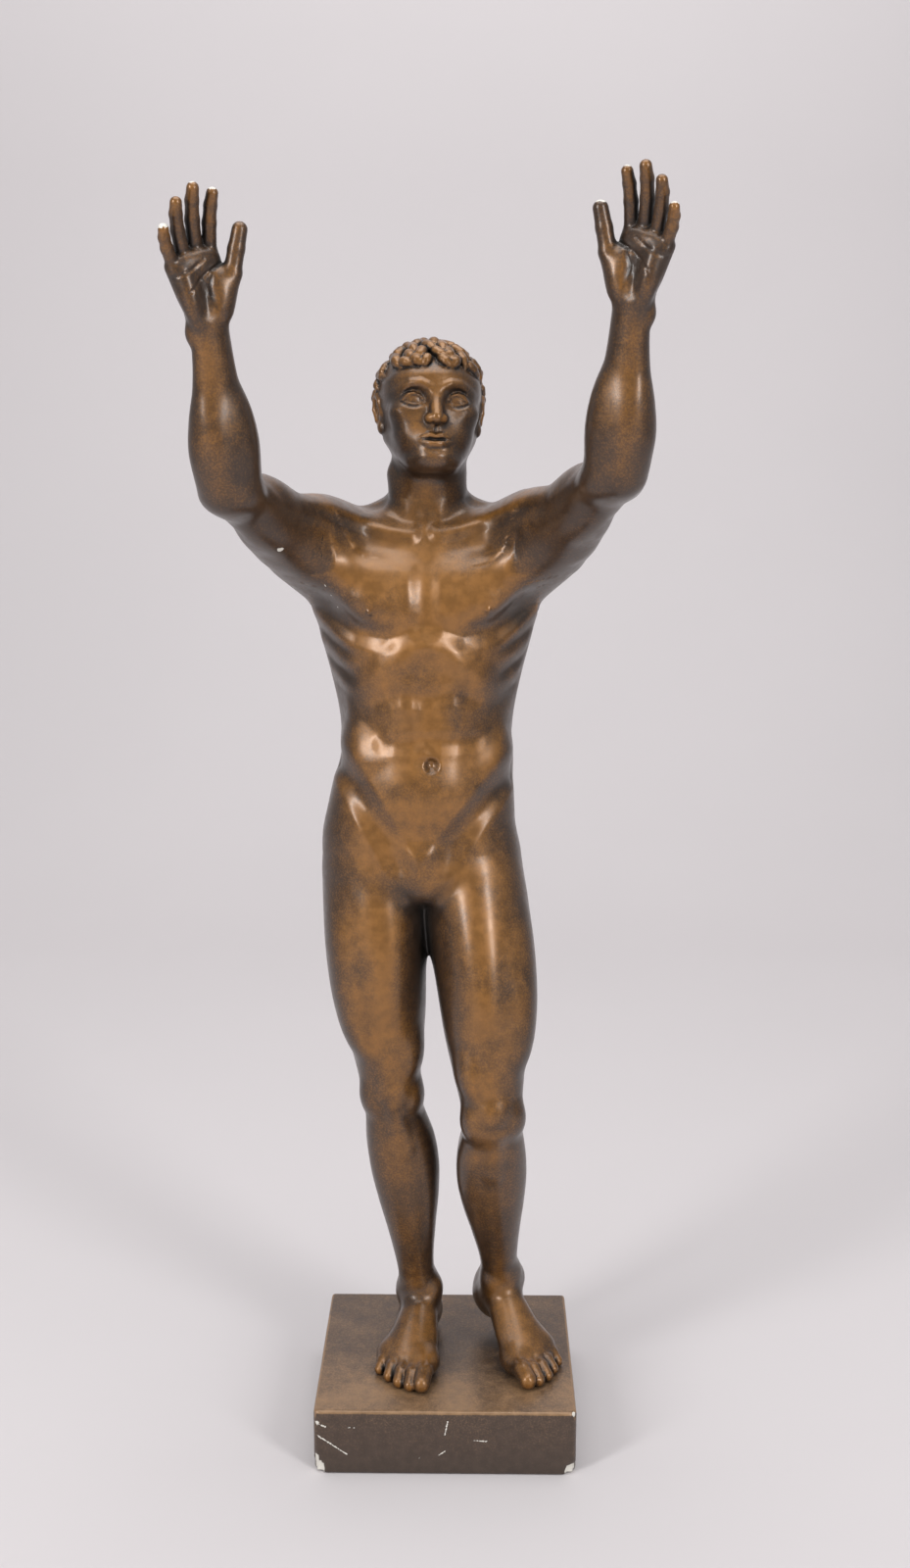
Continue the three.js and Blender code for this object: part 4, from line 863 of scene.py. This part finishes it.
def markWearAndPaintedLight(mesh, places, normals):
    # hollows are found by looking outwards from the skin, and sharp forms by looking inwards; the hollow
    # shares become painted shade
    def hidden(reach):
        return np.clip(1 - skinDistanceAt(places + normals * reach) / reach, 0, 1)

    def thin(reach):
        return np.clip(1 + skinDistanceAt(places - normals * reach) / reach, 0, 1)

    # painted shade in the small creases, together with the dark patina there
    setShare(mesh, "crease", 0.6 * hidden(1.2) + 0.6 * hidden(3.5))
    # painted shade in the broader hollows
    setShare(mesh, "paintedShade", 0.5 * hidden(8) + 0.5 * hidden(18))
    setShare(mesh, "edge", 0.5 * thin(1.5) + 0.7 * thin(5.0))
    # painted light: what faces forwards and up is made more gold
    front = np.clip(-normals[:, 1], 0, 1) ** goldRubAndLight["focus"]
    top = np.clip(normals[:, 2], 0, 1)
    rubAndLight = goldRubAndLight["anywhere"] + goldRubAndLight["front"] * front + goldRubAndLight["up"] * top
    share = np.full(len(places), goldRubAndLight["elsewhere"])
    for at, reach, strength in rubAndLightMarks.values():
        share = np.maximum(share, strength * nearness(places, at, reach) ** goldRubAndLight["edgeFade"])
    setShare(mesh, "rubAndLight", rubAndLight * share)
    chip = np.zeros(len(places))
    for at, reach in chipMarks:
        chip = np.maximum(chip, nearness(places, at, [reach] * 3))
    setShare(mesh, "chip", chip)


def fill(tree, node, values):
    # a value given as a socket is linked, any other is set
    for key, value in values.items():
        if isinstance(value, bpy.types.NodeSocket):
            tree.links.new(value, node.inputs[key])
        else:
            node.inputs[key].default_value = value


def put(tree, kind, values=None, **settings):
    node = tree.nodes.new(kind)
    for name, value in settings.items():
        setattr(node, name, value)
    fill(tree, node, values or {})
    return node


def arrange(tree):
    # nodes stand in columns, by the number of steps from each to the output
    columns = {node.name: 0 for node in tree.nodes}
    moving = True
    while moving:
        moving = False
        for link in tree.links:
            column = columns[link.to_node.name] + 1
            if columns[link.from_node.name] < column:
                columns[link.from_node.name] = column
                moving = True
    filled = {}
    for node in tree.nodes:
        column = columns[node.name]
        row = filled[column] = filled.get(column, -1) + 1
        node.location = (-220 * column, -260 * row)


def maths(tree, operation, a, b, clamp=False):
    return put(tree, "ShaderNodeMath", {0: a, 1: b}, operation=operation, use_clamp=clamp).outputs[0]


def times(tree, a, b):
    return maths(tree, "MULTIPLY", a, b)


def plus(tree, a, b):
    return maths(tree, "ADD", a, b)


def strongest(tree, masks):
    total = masks[0]
    for mask in masks[1:]:
        total = maths(tree, "MAXIMUM", total, mask)
    return total


def vectorMaths(tree, operation, a, b=None, scale=None):
    values = {key: v for key, v in ((0, a), (1, b), ("Scale", scale)) if v is not None}
    node = put(tree, "ShaderNodeVectorMath", values, operation=operation)
    isNumber = operation in ("LENGTH", "DISTANCE", "DOT_PRODUCT")
    return node.outputs["Value" if isNumber else "Vector"]


def vectorOf(tree, x, y, z):
    return put(tree, "ShaderNodeCombineXYZ", {0: x, 1: y, 2: z}).outputs[0]


def noise(tree, vector, scale, detail=3.0, rough=0.55):
    values = {"Vector": vector, "Scale": scale, "Detail": detail, "Roughness": rough}
    return put(tree, "ShaderNodeTexNoise", values).outputs["Fac"]


def attribute(tree, name):
    return put(tree, "ShaderNodeAttribute", attribute_name=name).outputs["Fac"]


def blendColours(tree, share, a, b, kind="MIX"):
    values = {0: share, 6: a, 7: b}
    return put(tree, "ShaderNodeMix", values, data_type="RGBA", blend_type=kind).outputs[2]


def spread(tree, value, low, high, toLow=0.0, toHigh=1.0):
    values = {"Value": value, "From Min": low, "From Max": high, "To Min": toLow, "To Max": toHigh}
    return put(tree, "ShaderNodeMapRange", values, interpolation_type="SMOOTHSTEP").outputs["Result"]


floatKind, vectorKind, colourKind = "NodeSocketFloat", "NodeSocketVector", "NodeSocketColor"


def newGroup(name, inputs, outputs):
    tree = bpy.data.node_groups.new(name, "ShaderNodeTree")
    for kind, label, value in inputs:
        socket = tree.interface.new_socket(label, in_out="INPUT", socket_type=kind)
        socket.default_value = value
    for kind, label in outputs:
        tree.interface.new_socket(label, in_out="OUTPUT", socket_type=kind)
    return tree, put(tree, "NodeGroupInput").outputs, put(tree, "NodeGroupOutput")


def colour(r, g, b):
    # linear colour from the everyday 0 to 255 scale
    shares = [v / 255 for v in (r, g, b)]
    return tuple(((v + 0.055) / 1.055) ** 2.4 if v > 0.04 else v / 12.92 for v in shares) + (1.0,)


def patinaAndPaintedLightGroup():
    # brown bronze paint, rubbed to gold where it stands proud, with painted light in the gold and painted
    # shade darkening its hollows and creases, partly dark patina in the creases
    tree, given, end = newGroup("bronzePatinaAndPaintedLight", [
        (vectorKind, "Vector", (0, 0, 0)),
        (floatKind, "Rub and light", 0.0),
        (floatKind, "Crease", 0.0),
        (floatKind, "Painted shade", 0.0),
        (colourKind, "Brown", (0, 0, 0, 1)),
        (colourKind, "Gold", (0, 0, 0, 1)),
        (colourKind, "Dark", (0, 0, 0, 1)),
        (floatKind, "Cloud scale", 28.0),
        (floatKind, "Grain scale", 700.0),
    ], [(colourKind, "Colour"), (floatKind, "Roughness"), (floatKind, "Height")])
    cloud = noise(tree, given["Vector"], given["Cloud scale"], 4.0)
    stain = noise(tree, given["Vector"], 140.0)
    grain = noise(tree, given["Vector"], given["Grain scale"], 2.0, 0.6)
    rubAndLight = times(tree, given["Rub and light"], spread(tree, cloud, 0.3, 0.7, 0.62, 1.25))
    rubAndLight = maths(tree, "SUBTRACT", rubAndLight, times(tree, given["Crease"], 1.1))
    rubAndLight = plus(tree, rubAndLight, spread(tree, grain, 0.35, 0.75, -0.12, 0.16))
    base = blendColours(tree, spread(tree, rubAndLight, 0.02, 0.85), given["Brown"], given["Gold"])
    paintedShade = times(tree, given["Painted shade"], 0.5)
    # painted shade: creases and hollows darken towards the dark colour, partly dark patina in the creases
    darkPatinaAndShade = maths(tree, "ADD", times(tree, given["Crease"], 0.75), paintedShade, clamp=True)
    base = blendColours(tree, darkPatinaAndShade, base, given["Dark"])
    mottle = spread(tree, stain, 0.3, 0.72, 0.86, 1.12)
    tint = put(tree, "ShaderNodeCombineColor", {0: mottle, 1: mottle, 2: mottle}).outputs[0]
    shine = spread(tree, stain, 0.3, 0.7, 0.30, 0.43)
    fill(tree, end, {
        "Colour": blendColours(tree, 1.0, base, tint, "MULTIPLY"),
        "Roughness": maths(tree, "ADD", shine, times(tree, darkPatinaAndShade, 0.2), clamp=True),
        "Height": plus(tree, times(tree, grain, 0.35), times(tree, stain, 0.65)),
    })
    arrange(tree)
    return tree


def strokeGroup():
    # a ragged stroke between two places
    tree, given, end = newGroup("raggedStroke", [
        (vectorKind, "Vector", (0, 0, 0)),
        (vectorKind, "Start", (0, 0, 0)),
        (vectorKind, "End", (0, 0, 0.01)),
        (floatKind, "Width", 0.001),
    ], [(floatKind, "Mask")])
    along = vectorMaths(tree, "SUBTRACT", given["End"], given["Start"])
    away = vectorMaths(tree, "SUBTRACT", given["Vector"], given["Start"])
    share = maths(tree, "DIVIDE", vectorMaths(tree, "DOT_PRODUCT", away, along),
                  vectorMaths(tree, "DOT_PRODUCT", along, along), clamp=True)
    nearest = vectorMaths(tree, "SCALE", along, scale=share)
    gap = vectorMaths(tree, "LENGTH", vectorMaths(tree, "SUBTRACT", away, nearest))
    fuzz = noise(tree, given["Vector"], 900.0, 2.0, 0.5)
    ragged = times(tree, given["Width"], spread(tree, fuzz, 0.35, 0.65, 0.25, 1.3))
    fill(tree, end, {"Mask": maths(tree, "LESS_THAN", gap, ragged)})
    arrange(tree)
    return tree


patinaAndPaintedLight = patinaAndPaintedLightGroup()
stroke = strokeGroup()


def strokes(tree, vector, marks):
    # the strongest of several strokes, marks given in millimetres
    return strongest(tree, [put(tree, "ShaderNodeGroup", {
        "Vector": vector,
        "Start": [v * mm for v in start],
        "End": [v * mm for v in finish],
        "Width": wide * mm,
    }, node_tree=stroke).outputs["Mask"] for start, finish, wide in marks])


def newMaterial(name):
    material = bpy.data.materials.new(name)
    material.use_nodes = True
    tree = material.node_tree
    tree.nodes.clear()
    shader = put(tree, "ShaderNodeBsdfPrincipled")
    put(tree, "ShaderNodeOutputMaterial", {0: shader.outputs[0]})
    return material, tree, shader


bronze = {
    "brown": colour(66, 49, 37),
    "gold": colour(142, 96, 42),
    "dark": colour(30, 24, 19),
    "plaster": colour(226, 222, 212),
    "metallic": 0.3,
    "coat": 0.5,
    "coatRoughness": 0.24,
    "bump": 0.10,
    "bumpHeight": 0.0006,
}


def bronzeMaterial(name, readWearAndPaintedLight, marks, settings=bronze):
    material, tree, shader = newMaterial(name)
    where = put(tree, "ShaderNodeTexCoord").outputs["Object"]
    rubAndLight, crease, paintedShade, white = readWearAndPaintedLight(tree, where)
    paint = put(tree, "ShaderNodeGroup", {
        "Vector": where, "Rub and light": rubAndLight, "Crease": crease, "Painted shade": paintedShade,
        "Brown": settings["brown"], "Gold": settings["gold"], "Dark": settings["dark"],
    }, node_tree=patinaAndPaintedLight).outputs
    white = strongest(tree, [white, strokes(tree, where, marks)])
    bare = maths(tree, "SUBTRACT", paint["Height"], times(tree, white, 1.4))
    bump = {"Strength": settings["bump"], "Distance": settings["bumpHeight"], "Height": bare}
    fill(tree, shader, {
        "Base Color": blendColours(tree, white, paint["Colour"], settings["plaster"]),
        "Roughness": strongest(tree, [paint["Roughness"], times(tree, white, 0.85)]),
        "Normal": put(tree, "ShaderNodeBump", bump).outputs[0],
        "Metallic": maths(tree, "SUBTRACT", settings["metallic"], times(tree, white, settings["metallic"])),
        "Coat Weight": settings["coat"],
        "Coat Roughness": settings["coatRoughness"],
    })
    arrange(tree)
    return material


def figureWearAndPaintedLight(tree, where):
    rubAndLight = plus(tree, attribute(tree, "rubAndLight"), times(tree, attribute(tree, "edge"), 0.9))
    fuzz = noise(tree, where, 420.0)
    chip = maths(tree, "SUBTRACT", attribute(tree, "chip"), times(tree, fuzz, 0.9))
    crease = strongest(tree, [attribute(tree, "crease"), strokes(tree, where, figureCracks)])
    # the hollow share is painted shade and the rub share carries painted light
    return rubAndLight, crease, attribute(tree, "paintedShade"), spread(tree, chip, 0.0, 0.05)


figure = makeFigure()
figure.data.materials.append(bronzeMaterial("figureBronze", figureWearAndPaintedLight, figureScratches))
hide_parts("figure")
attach(figure, "root")


# Plinth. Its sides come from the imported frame.
low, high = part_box("plinth")
plinth = {
    "Width": high.x - low.x,
    "Depth": high.y - low.y,
    "Height": high.z - low.z,
    "Edge": 0.0022,
    "Corner": 0.005,
    "Waviness": 0.0005,
    "Cell": 0.0022,
    "Seed": 7,
}
plinthDents = [       # place in metres, reach and depth
    ((-0.0985, -0.0925, 0.004), 0.0085, 0.0022),
    ((-0.0995, -0.0935, 0.013), 0.0045, 0.0014),
    ((0.0975, -0.0925, 0.003), 0.0080, 0.0022),
    ((0.0990, -0.0930, 0.0515), 0.0035, 0.0012),
    ((-0.0972, -0.0940, 0.0418), 0.0026, 0.0007),
]


def geometryNodes(name, sizes, result):
    # a geometry tree with one named input for each size, run on a new object
    tree = bpy.data.node_groups.new(name, "GeometryNodeTree")
    sockets = {}
    for label, value in sizes.items():
        kind = "NodeSocketInt" if isinstance(value, int) else floatKind
        sockets[label] = tree.interface.new_socket(label, in_out="INPUT", socket_type=kind)
    tree.interface.new_socket("Geometry", in_out="OUTPUT", socket_type="NodeSocketGeometry")
    given = put(tree, "NodeGroupInput").outputs
    put(tree, "NodeGroupOutput", {0: result(tree, given)})
    arrange(tree)
    thing = bpy.data.objects.new(name, bpy.data.meshes.new(name))
    bpy.context.scene.collection.objects.link(thing)
    modifier = thing.modifiers.new(name, "NODES")
    modifier.node_group = tree
    for label, value in sizes.items():
        modifier[sockets[label].identifier] = value
    bake(thing)
    return thing


def plinthTree(tree, given):
    def moved(mesh, position):
        return put(tree, "GeometryNodeSetPosition", {"Geometry": mesh, "Position": position}).outputs[0]

    def shifted(mesh, offset):
        return put(tree, "GeometryNodeSetPosition", {"Geometry": mesh, "Offset": offset}).outputs[0]

    def marked(mesh, name, value):
        values = {"Geometry": mesh, "Name": name, "Value": value}
        node = put(tree, "GeometryNodeStoreNamedAttribute", values, data_type="FLOAT", domain="POINT")
        return node.outputs[0]

    def pulledIn(position, inner, reach):
        # a place further than the reach from the inner box comes back to it
        low = vectorMaths(tree, "SCALE", inner, scale=-1.0)
        nearest = vectorMaths(tree, "MINIMUM", vectorMaths(tree, "MAXIMUM", position, low), inner)
        off = vectorMaths(tree, "SUBTRACT", position, nearest)
        kept = maths(tree, "MINIMUM", vectorMaths(tree, "LENGTH", off), reach)
        way = vectorMaths(tree, "NORMALIZE", off)
        return vectorMaths(tree, "ADD", nearest, vectorMaths(tree, "SCALE", way, scale=kept))

    size = vectorOf(tree, given["Width"], given["Depth"], given["Height"])
    counts = {"Vertices X": "Width", "Vertices Y": "Depth", "Vertices Z": "Height"}
    counts = {key: maths(tree, "DIVIDE", given[label], given["Cell"]) for key, label in counts.items()}
    cube = put(tree, "GeometryNodeMeshCube", {"Size": size, **counts}).outputs[0]
    position = put(tree, "GeometryNodeInputPosition").outputs[0]
    halfSize = vectorMaths(tree, "SCALE", size, scale=0.5)
    edge = vectorOf(tree, given["Edge"], given["Edge"], given["Edge"])
    corner = vectorOf(tree, given["Corner"], given["Corner"], 0.0)
    rounded = pulledIn(position, vectorMaths(tree, "SUBTRACT", halfSize, edge), given["Edge"])
    worn = vectorMaths(tree, "DISTANCE", position, rounded)
    wornShare = maths(tree, "DIVIDE", worn, times(tree, given["Edge"], 0.42), clamp=True)
    mesh = moved(marked(cube, "edge", wornShare), rounded)
    mesh = moved(mesh, pulledIn(position, vectorMaths(tree, "SUBTRACT", halfSize, corner), given["Corner"]))
    # an uneven cast surface, then dents where the paint and plaster are knocked off
    normal = put(tree, "GeometryNodeInputNormal").outputs[0]
    moving = vectorMaths(tree, "ADD", position, vectorOf(tree, times(tree, given["Seed"], 0.37), 0.0, 0.0))
    wave = maths(tree, "SUBTRACT", noise(tree, moving, 16.0, 2.0), 0.5)
    mesh = shifted(mesh, vectorMaths(tree, "SCALE", normal, scale=times(tree, wave, given["Waviness"])))
    mesh = shifted(mesh, vectorOf(tree, 0.0, 0.0, times(tree, given["Height"], 0.5)))
    chips = []
    for centre, reach, depth in plinthDents:
        gap = vectorMaths(tree, "DISTANCE", position, centre)
        ragged = plus(tree, gap, times(tree, noise(tree, moving, 420.0), reach * 0.55))
        share = spread(tree, ragged, reach * 1.28, reach * 0.9)
        chips.append(share)
        mesh = shifted(mesh, vectorMaths(tree, "SCALE", normal, scale=times(tree, share, -depth)))
    flat = put(tree, "ShaderNodeSeparateXYZ", {0: position}).outputs
    onFloor = vectorOf(tree, flat[0], flat[1], maths(tree, "MAXIMUM", flat[2], 0.0))
    mesh = moved(marked(mesh, "chip", strongest(tree, chips)), onFloor)
    mesh = put(tree, "GeometryNodeSetShadeSmooth", {"Geometry": mesh}).outputs[0]
    mesh = put(tree, "GeometryNodeRealizeInstances", {"Geometry": mesh}).outputs[0]
    return put(tree, "GeometryNodeSetMaterial", {"Geometry": mesh, "Material": plinthBronze}).outputs[0]


def plinthWearAndPaintedLight(tree, where):
    parts = put(tree, "ShaderNodeSeparateXYZ", {0: where}).outputs
    fuzz = noise(tree, where, 60.0, 4.0)
    top = spread(tree, parts[2], 0.0495, 0.0515)
    frontWarm = times(tree, top, spread(tree, parts[1], 0.02, -0.09, 0.18, 0.5))
    # painted light: the plinth's sides grow more gold towards the top
    upper = spread(tree, parts[2], 0.0, 0.05, 0.0, 0.16)
    edgeRub = times(tree, attribute(tree, "edge"), spread(tree, parts[2], 0.045, 0.051, 0.15, 1.0))
    edgeRub = times(tree, edgeRub, spread(tree, fuzz, 0.3, 0.6, 0.5, 1.25))
    rubAndLight = plus(tree, plus(tree, frontWarm, upper), edgeRub)
    feet = []
    for at, reach in footMarks:
        gap = vectorMaths(tree, "DISTANCE", where, [v * mm for v in at])
        ragged = plus(tree, gap, times(tree, fuzz, 0.02))
        feet.append(spread(tree, ragged, (reach + 14) * mm, (reach - 6) * mm))
    # the plinth top is painted darker round the feet
    crease = times(tree, strongest(tree, feet), 0.55)
    chip = spread(tree, attribute(tree, "chip"), 0.35, 0.6)
    # painted shade: the plinth's sides grow darker towards the bottom
    return rubAndLight, crease, spread(tree, parts[2], 0.03, 0.0, 0.0, 0.5), chip


plinthBronze = bronzeMaterial("plinthBronze", plinthWearAndPaintedLight, plinthScratches, settings=dict(
    bronze,
    brown=colour(76, 61, 51),
    gold=colour(148, 116, 84),
    dark=colour(60, 54, 47),
    metallic=0.15,
    coat=0.15,
))
base = geometryNodes("plinthBase", plinth, plinthTree)
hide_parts("plinth")
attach(base, "root")
print("plinth:", len(base.data.polygons), "faces")


# Paper sweep behind the statuette: floor, a wide bend and a wall
sweep = {
    "wide": 7.0,
    "front": -4.0,
    "bend": 1.3,
    "radius": 1.3,
    "steps": 24,
    "high": 4.0,
    "paper": colour(214, 209, 210),
}


def makeSweep():
    profile = [(sweep["front"], 0.0)]
    for n in range(sweep["steps"] + 1):
        turn = n / sweep["steps"] * pi / 2
        profile.append((sweep["bend"] + sweep["radius"] * sin(turn), sweep["radius"] * (1 - cos(turn))))
    profile.append((sweep["bend"] + sweep["radius"], sweep["high"]))
    points = [(side * sweep["wide"] / 2, y, z) for y, z in profile for side in (-1, 1)]
    faces = np.array([[2 * n, 2 * n + 1, 2 * n + 3, 2 * n + 2] for n in range(len(profile) - 1)], np.int32)
    thing = meshFrom("paperSweep", np.array(points), faces)
    thing.data.polygons.foreach_set("use_smooth", np.ones(len(faces), bool))
    material, tree, shader = newMaterial("palePaper")
    where = put(tree, "ShaderNodeTexCoord").outputs["Object"]
    tone = spread(tree, noise(tree, where, 1.2), 0.2, 0.8)
    shade = tuple(v * 0.97 for v in sweep["paper"][:3]) + (1.0,)
    fill(tree, shader, {"Base Color": blendColours(tree, tone, sweep["paper"], shade), "Roughness": 0.9})
    arrange(tree)
    thing.data.materials.append(material)


makeSweep()


# Soft studio lights: where they stand, what they face, their size and power
lights = {
    "leftBox": ((-1.5, -1.5, 1.35), (0, 0, 0.5), (0.4, 1.3), 25),
    "rightBox": ((1.35, -1.6, 1.35), (0, 0, 0.5), (0.4, 1.3), 21),
    "overhead": ((0.0, -0.2, 2.6), (0, 0, 0), (2.0, 1.6), 29),
    "backdrop": ((0.0, 0.9, 3.2), (0, 2.6, 2.3), (3.0, 0.8), 38),
}


ambient = {"Color": colour(236, 236, 239), "Strength": 0.36}


def addLights():
    for name, (place, toward, size, power) in lights.items():
        lamp = bpy.data.lights.new(name, "AREA")
        lamp.shape = "RECTANGLE"
        lamp.size, lamp.size_y = size
        lamp.energy = power
        thing = bpy.data.objects.new(name, lamp)
        thing.location = place
        thing.rotation_euler = (Vector(toward) - Vector(place)).to_track_quat("-Z", "Y").to_euler()
        bpy.context.scene.collection.objects.link(thing)
    studio = bpy.data.worlds.new("studio")
    studio.use_nodes = True
    fill(studio.node_tree, studio.node_tree.nodes["Background"], ambient)
    bpy.context.scene.world = studio
    bpy.context.scene.view_settings.view_transform = "Standard"


addLights()


camera = {
    "place": (0.0175, -1.3095, 0.7819),
    "turn": 0.528,
    "tilt": -11.366,
    "roll": -0.166,
    "lens": 40.5,
    "sensorHeight": 36,
    "clip": (0.05, 30),
}


def addCamera():
    data = bpy.data.cameras.new("camera")
    data.sensor_fit = "VERTICAL"
    data.sensor_height = camera["sensorHeight"]
    data.lens = camera["lens"]
    data.clip_start, data.clip_end = camera["clip"]
    thing = bpy.data.objects.new("camera", data)
    turn = Matrix.Rotation(radians(camera["turn"]), 4, "Z")
    tilt = Matrix.Rotation(radians(camera["tilt"]), 4, "X")
    roll = Matrix.Rotation(radians(camera["roll"]), 4, "Y")
    upright = Matrix.Rotation(radians(90), 4, "X")      # a camera at rest looks down
    thing.matrix_world = Matrix.Translation(camera["place"]) @ turn @ tilt @ roll @ upright
    bpy.context.scene.collection.objects.link(thing)
    bpy.context.scene.camera = thing


addCamera()
print("lights and camera set")
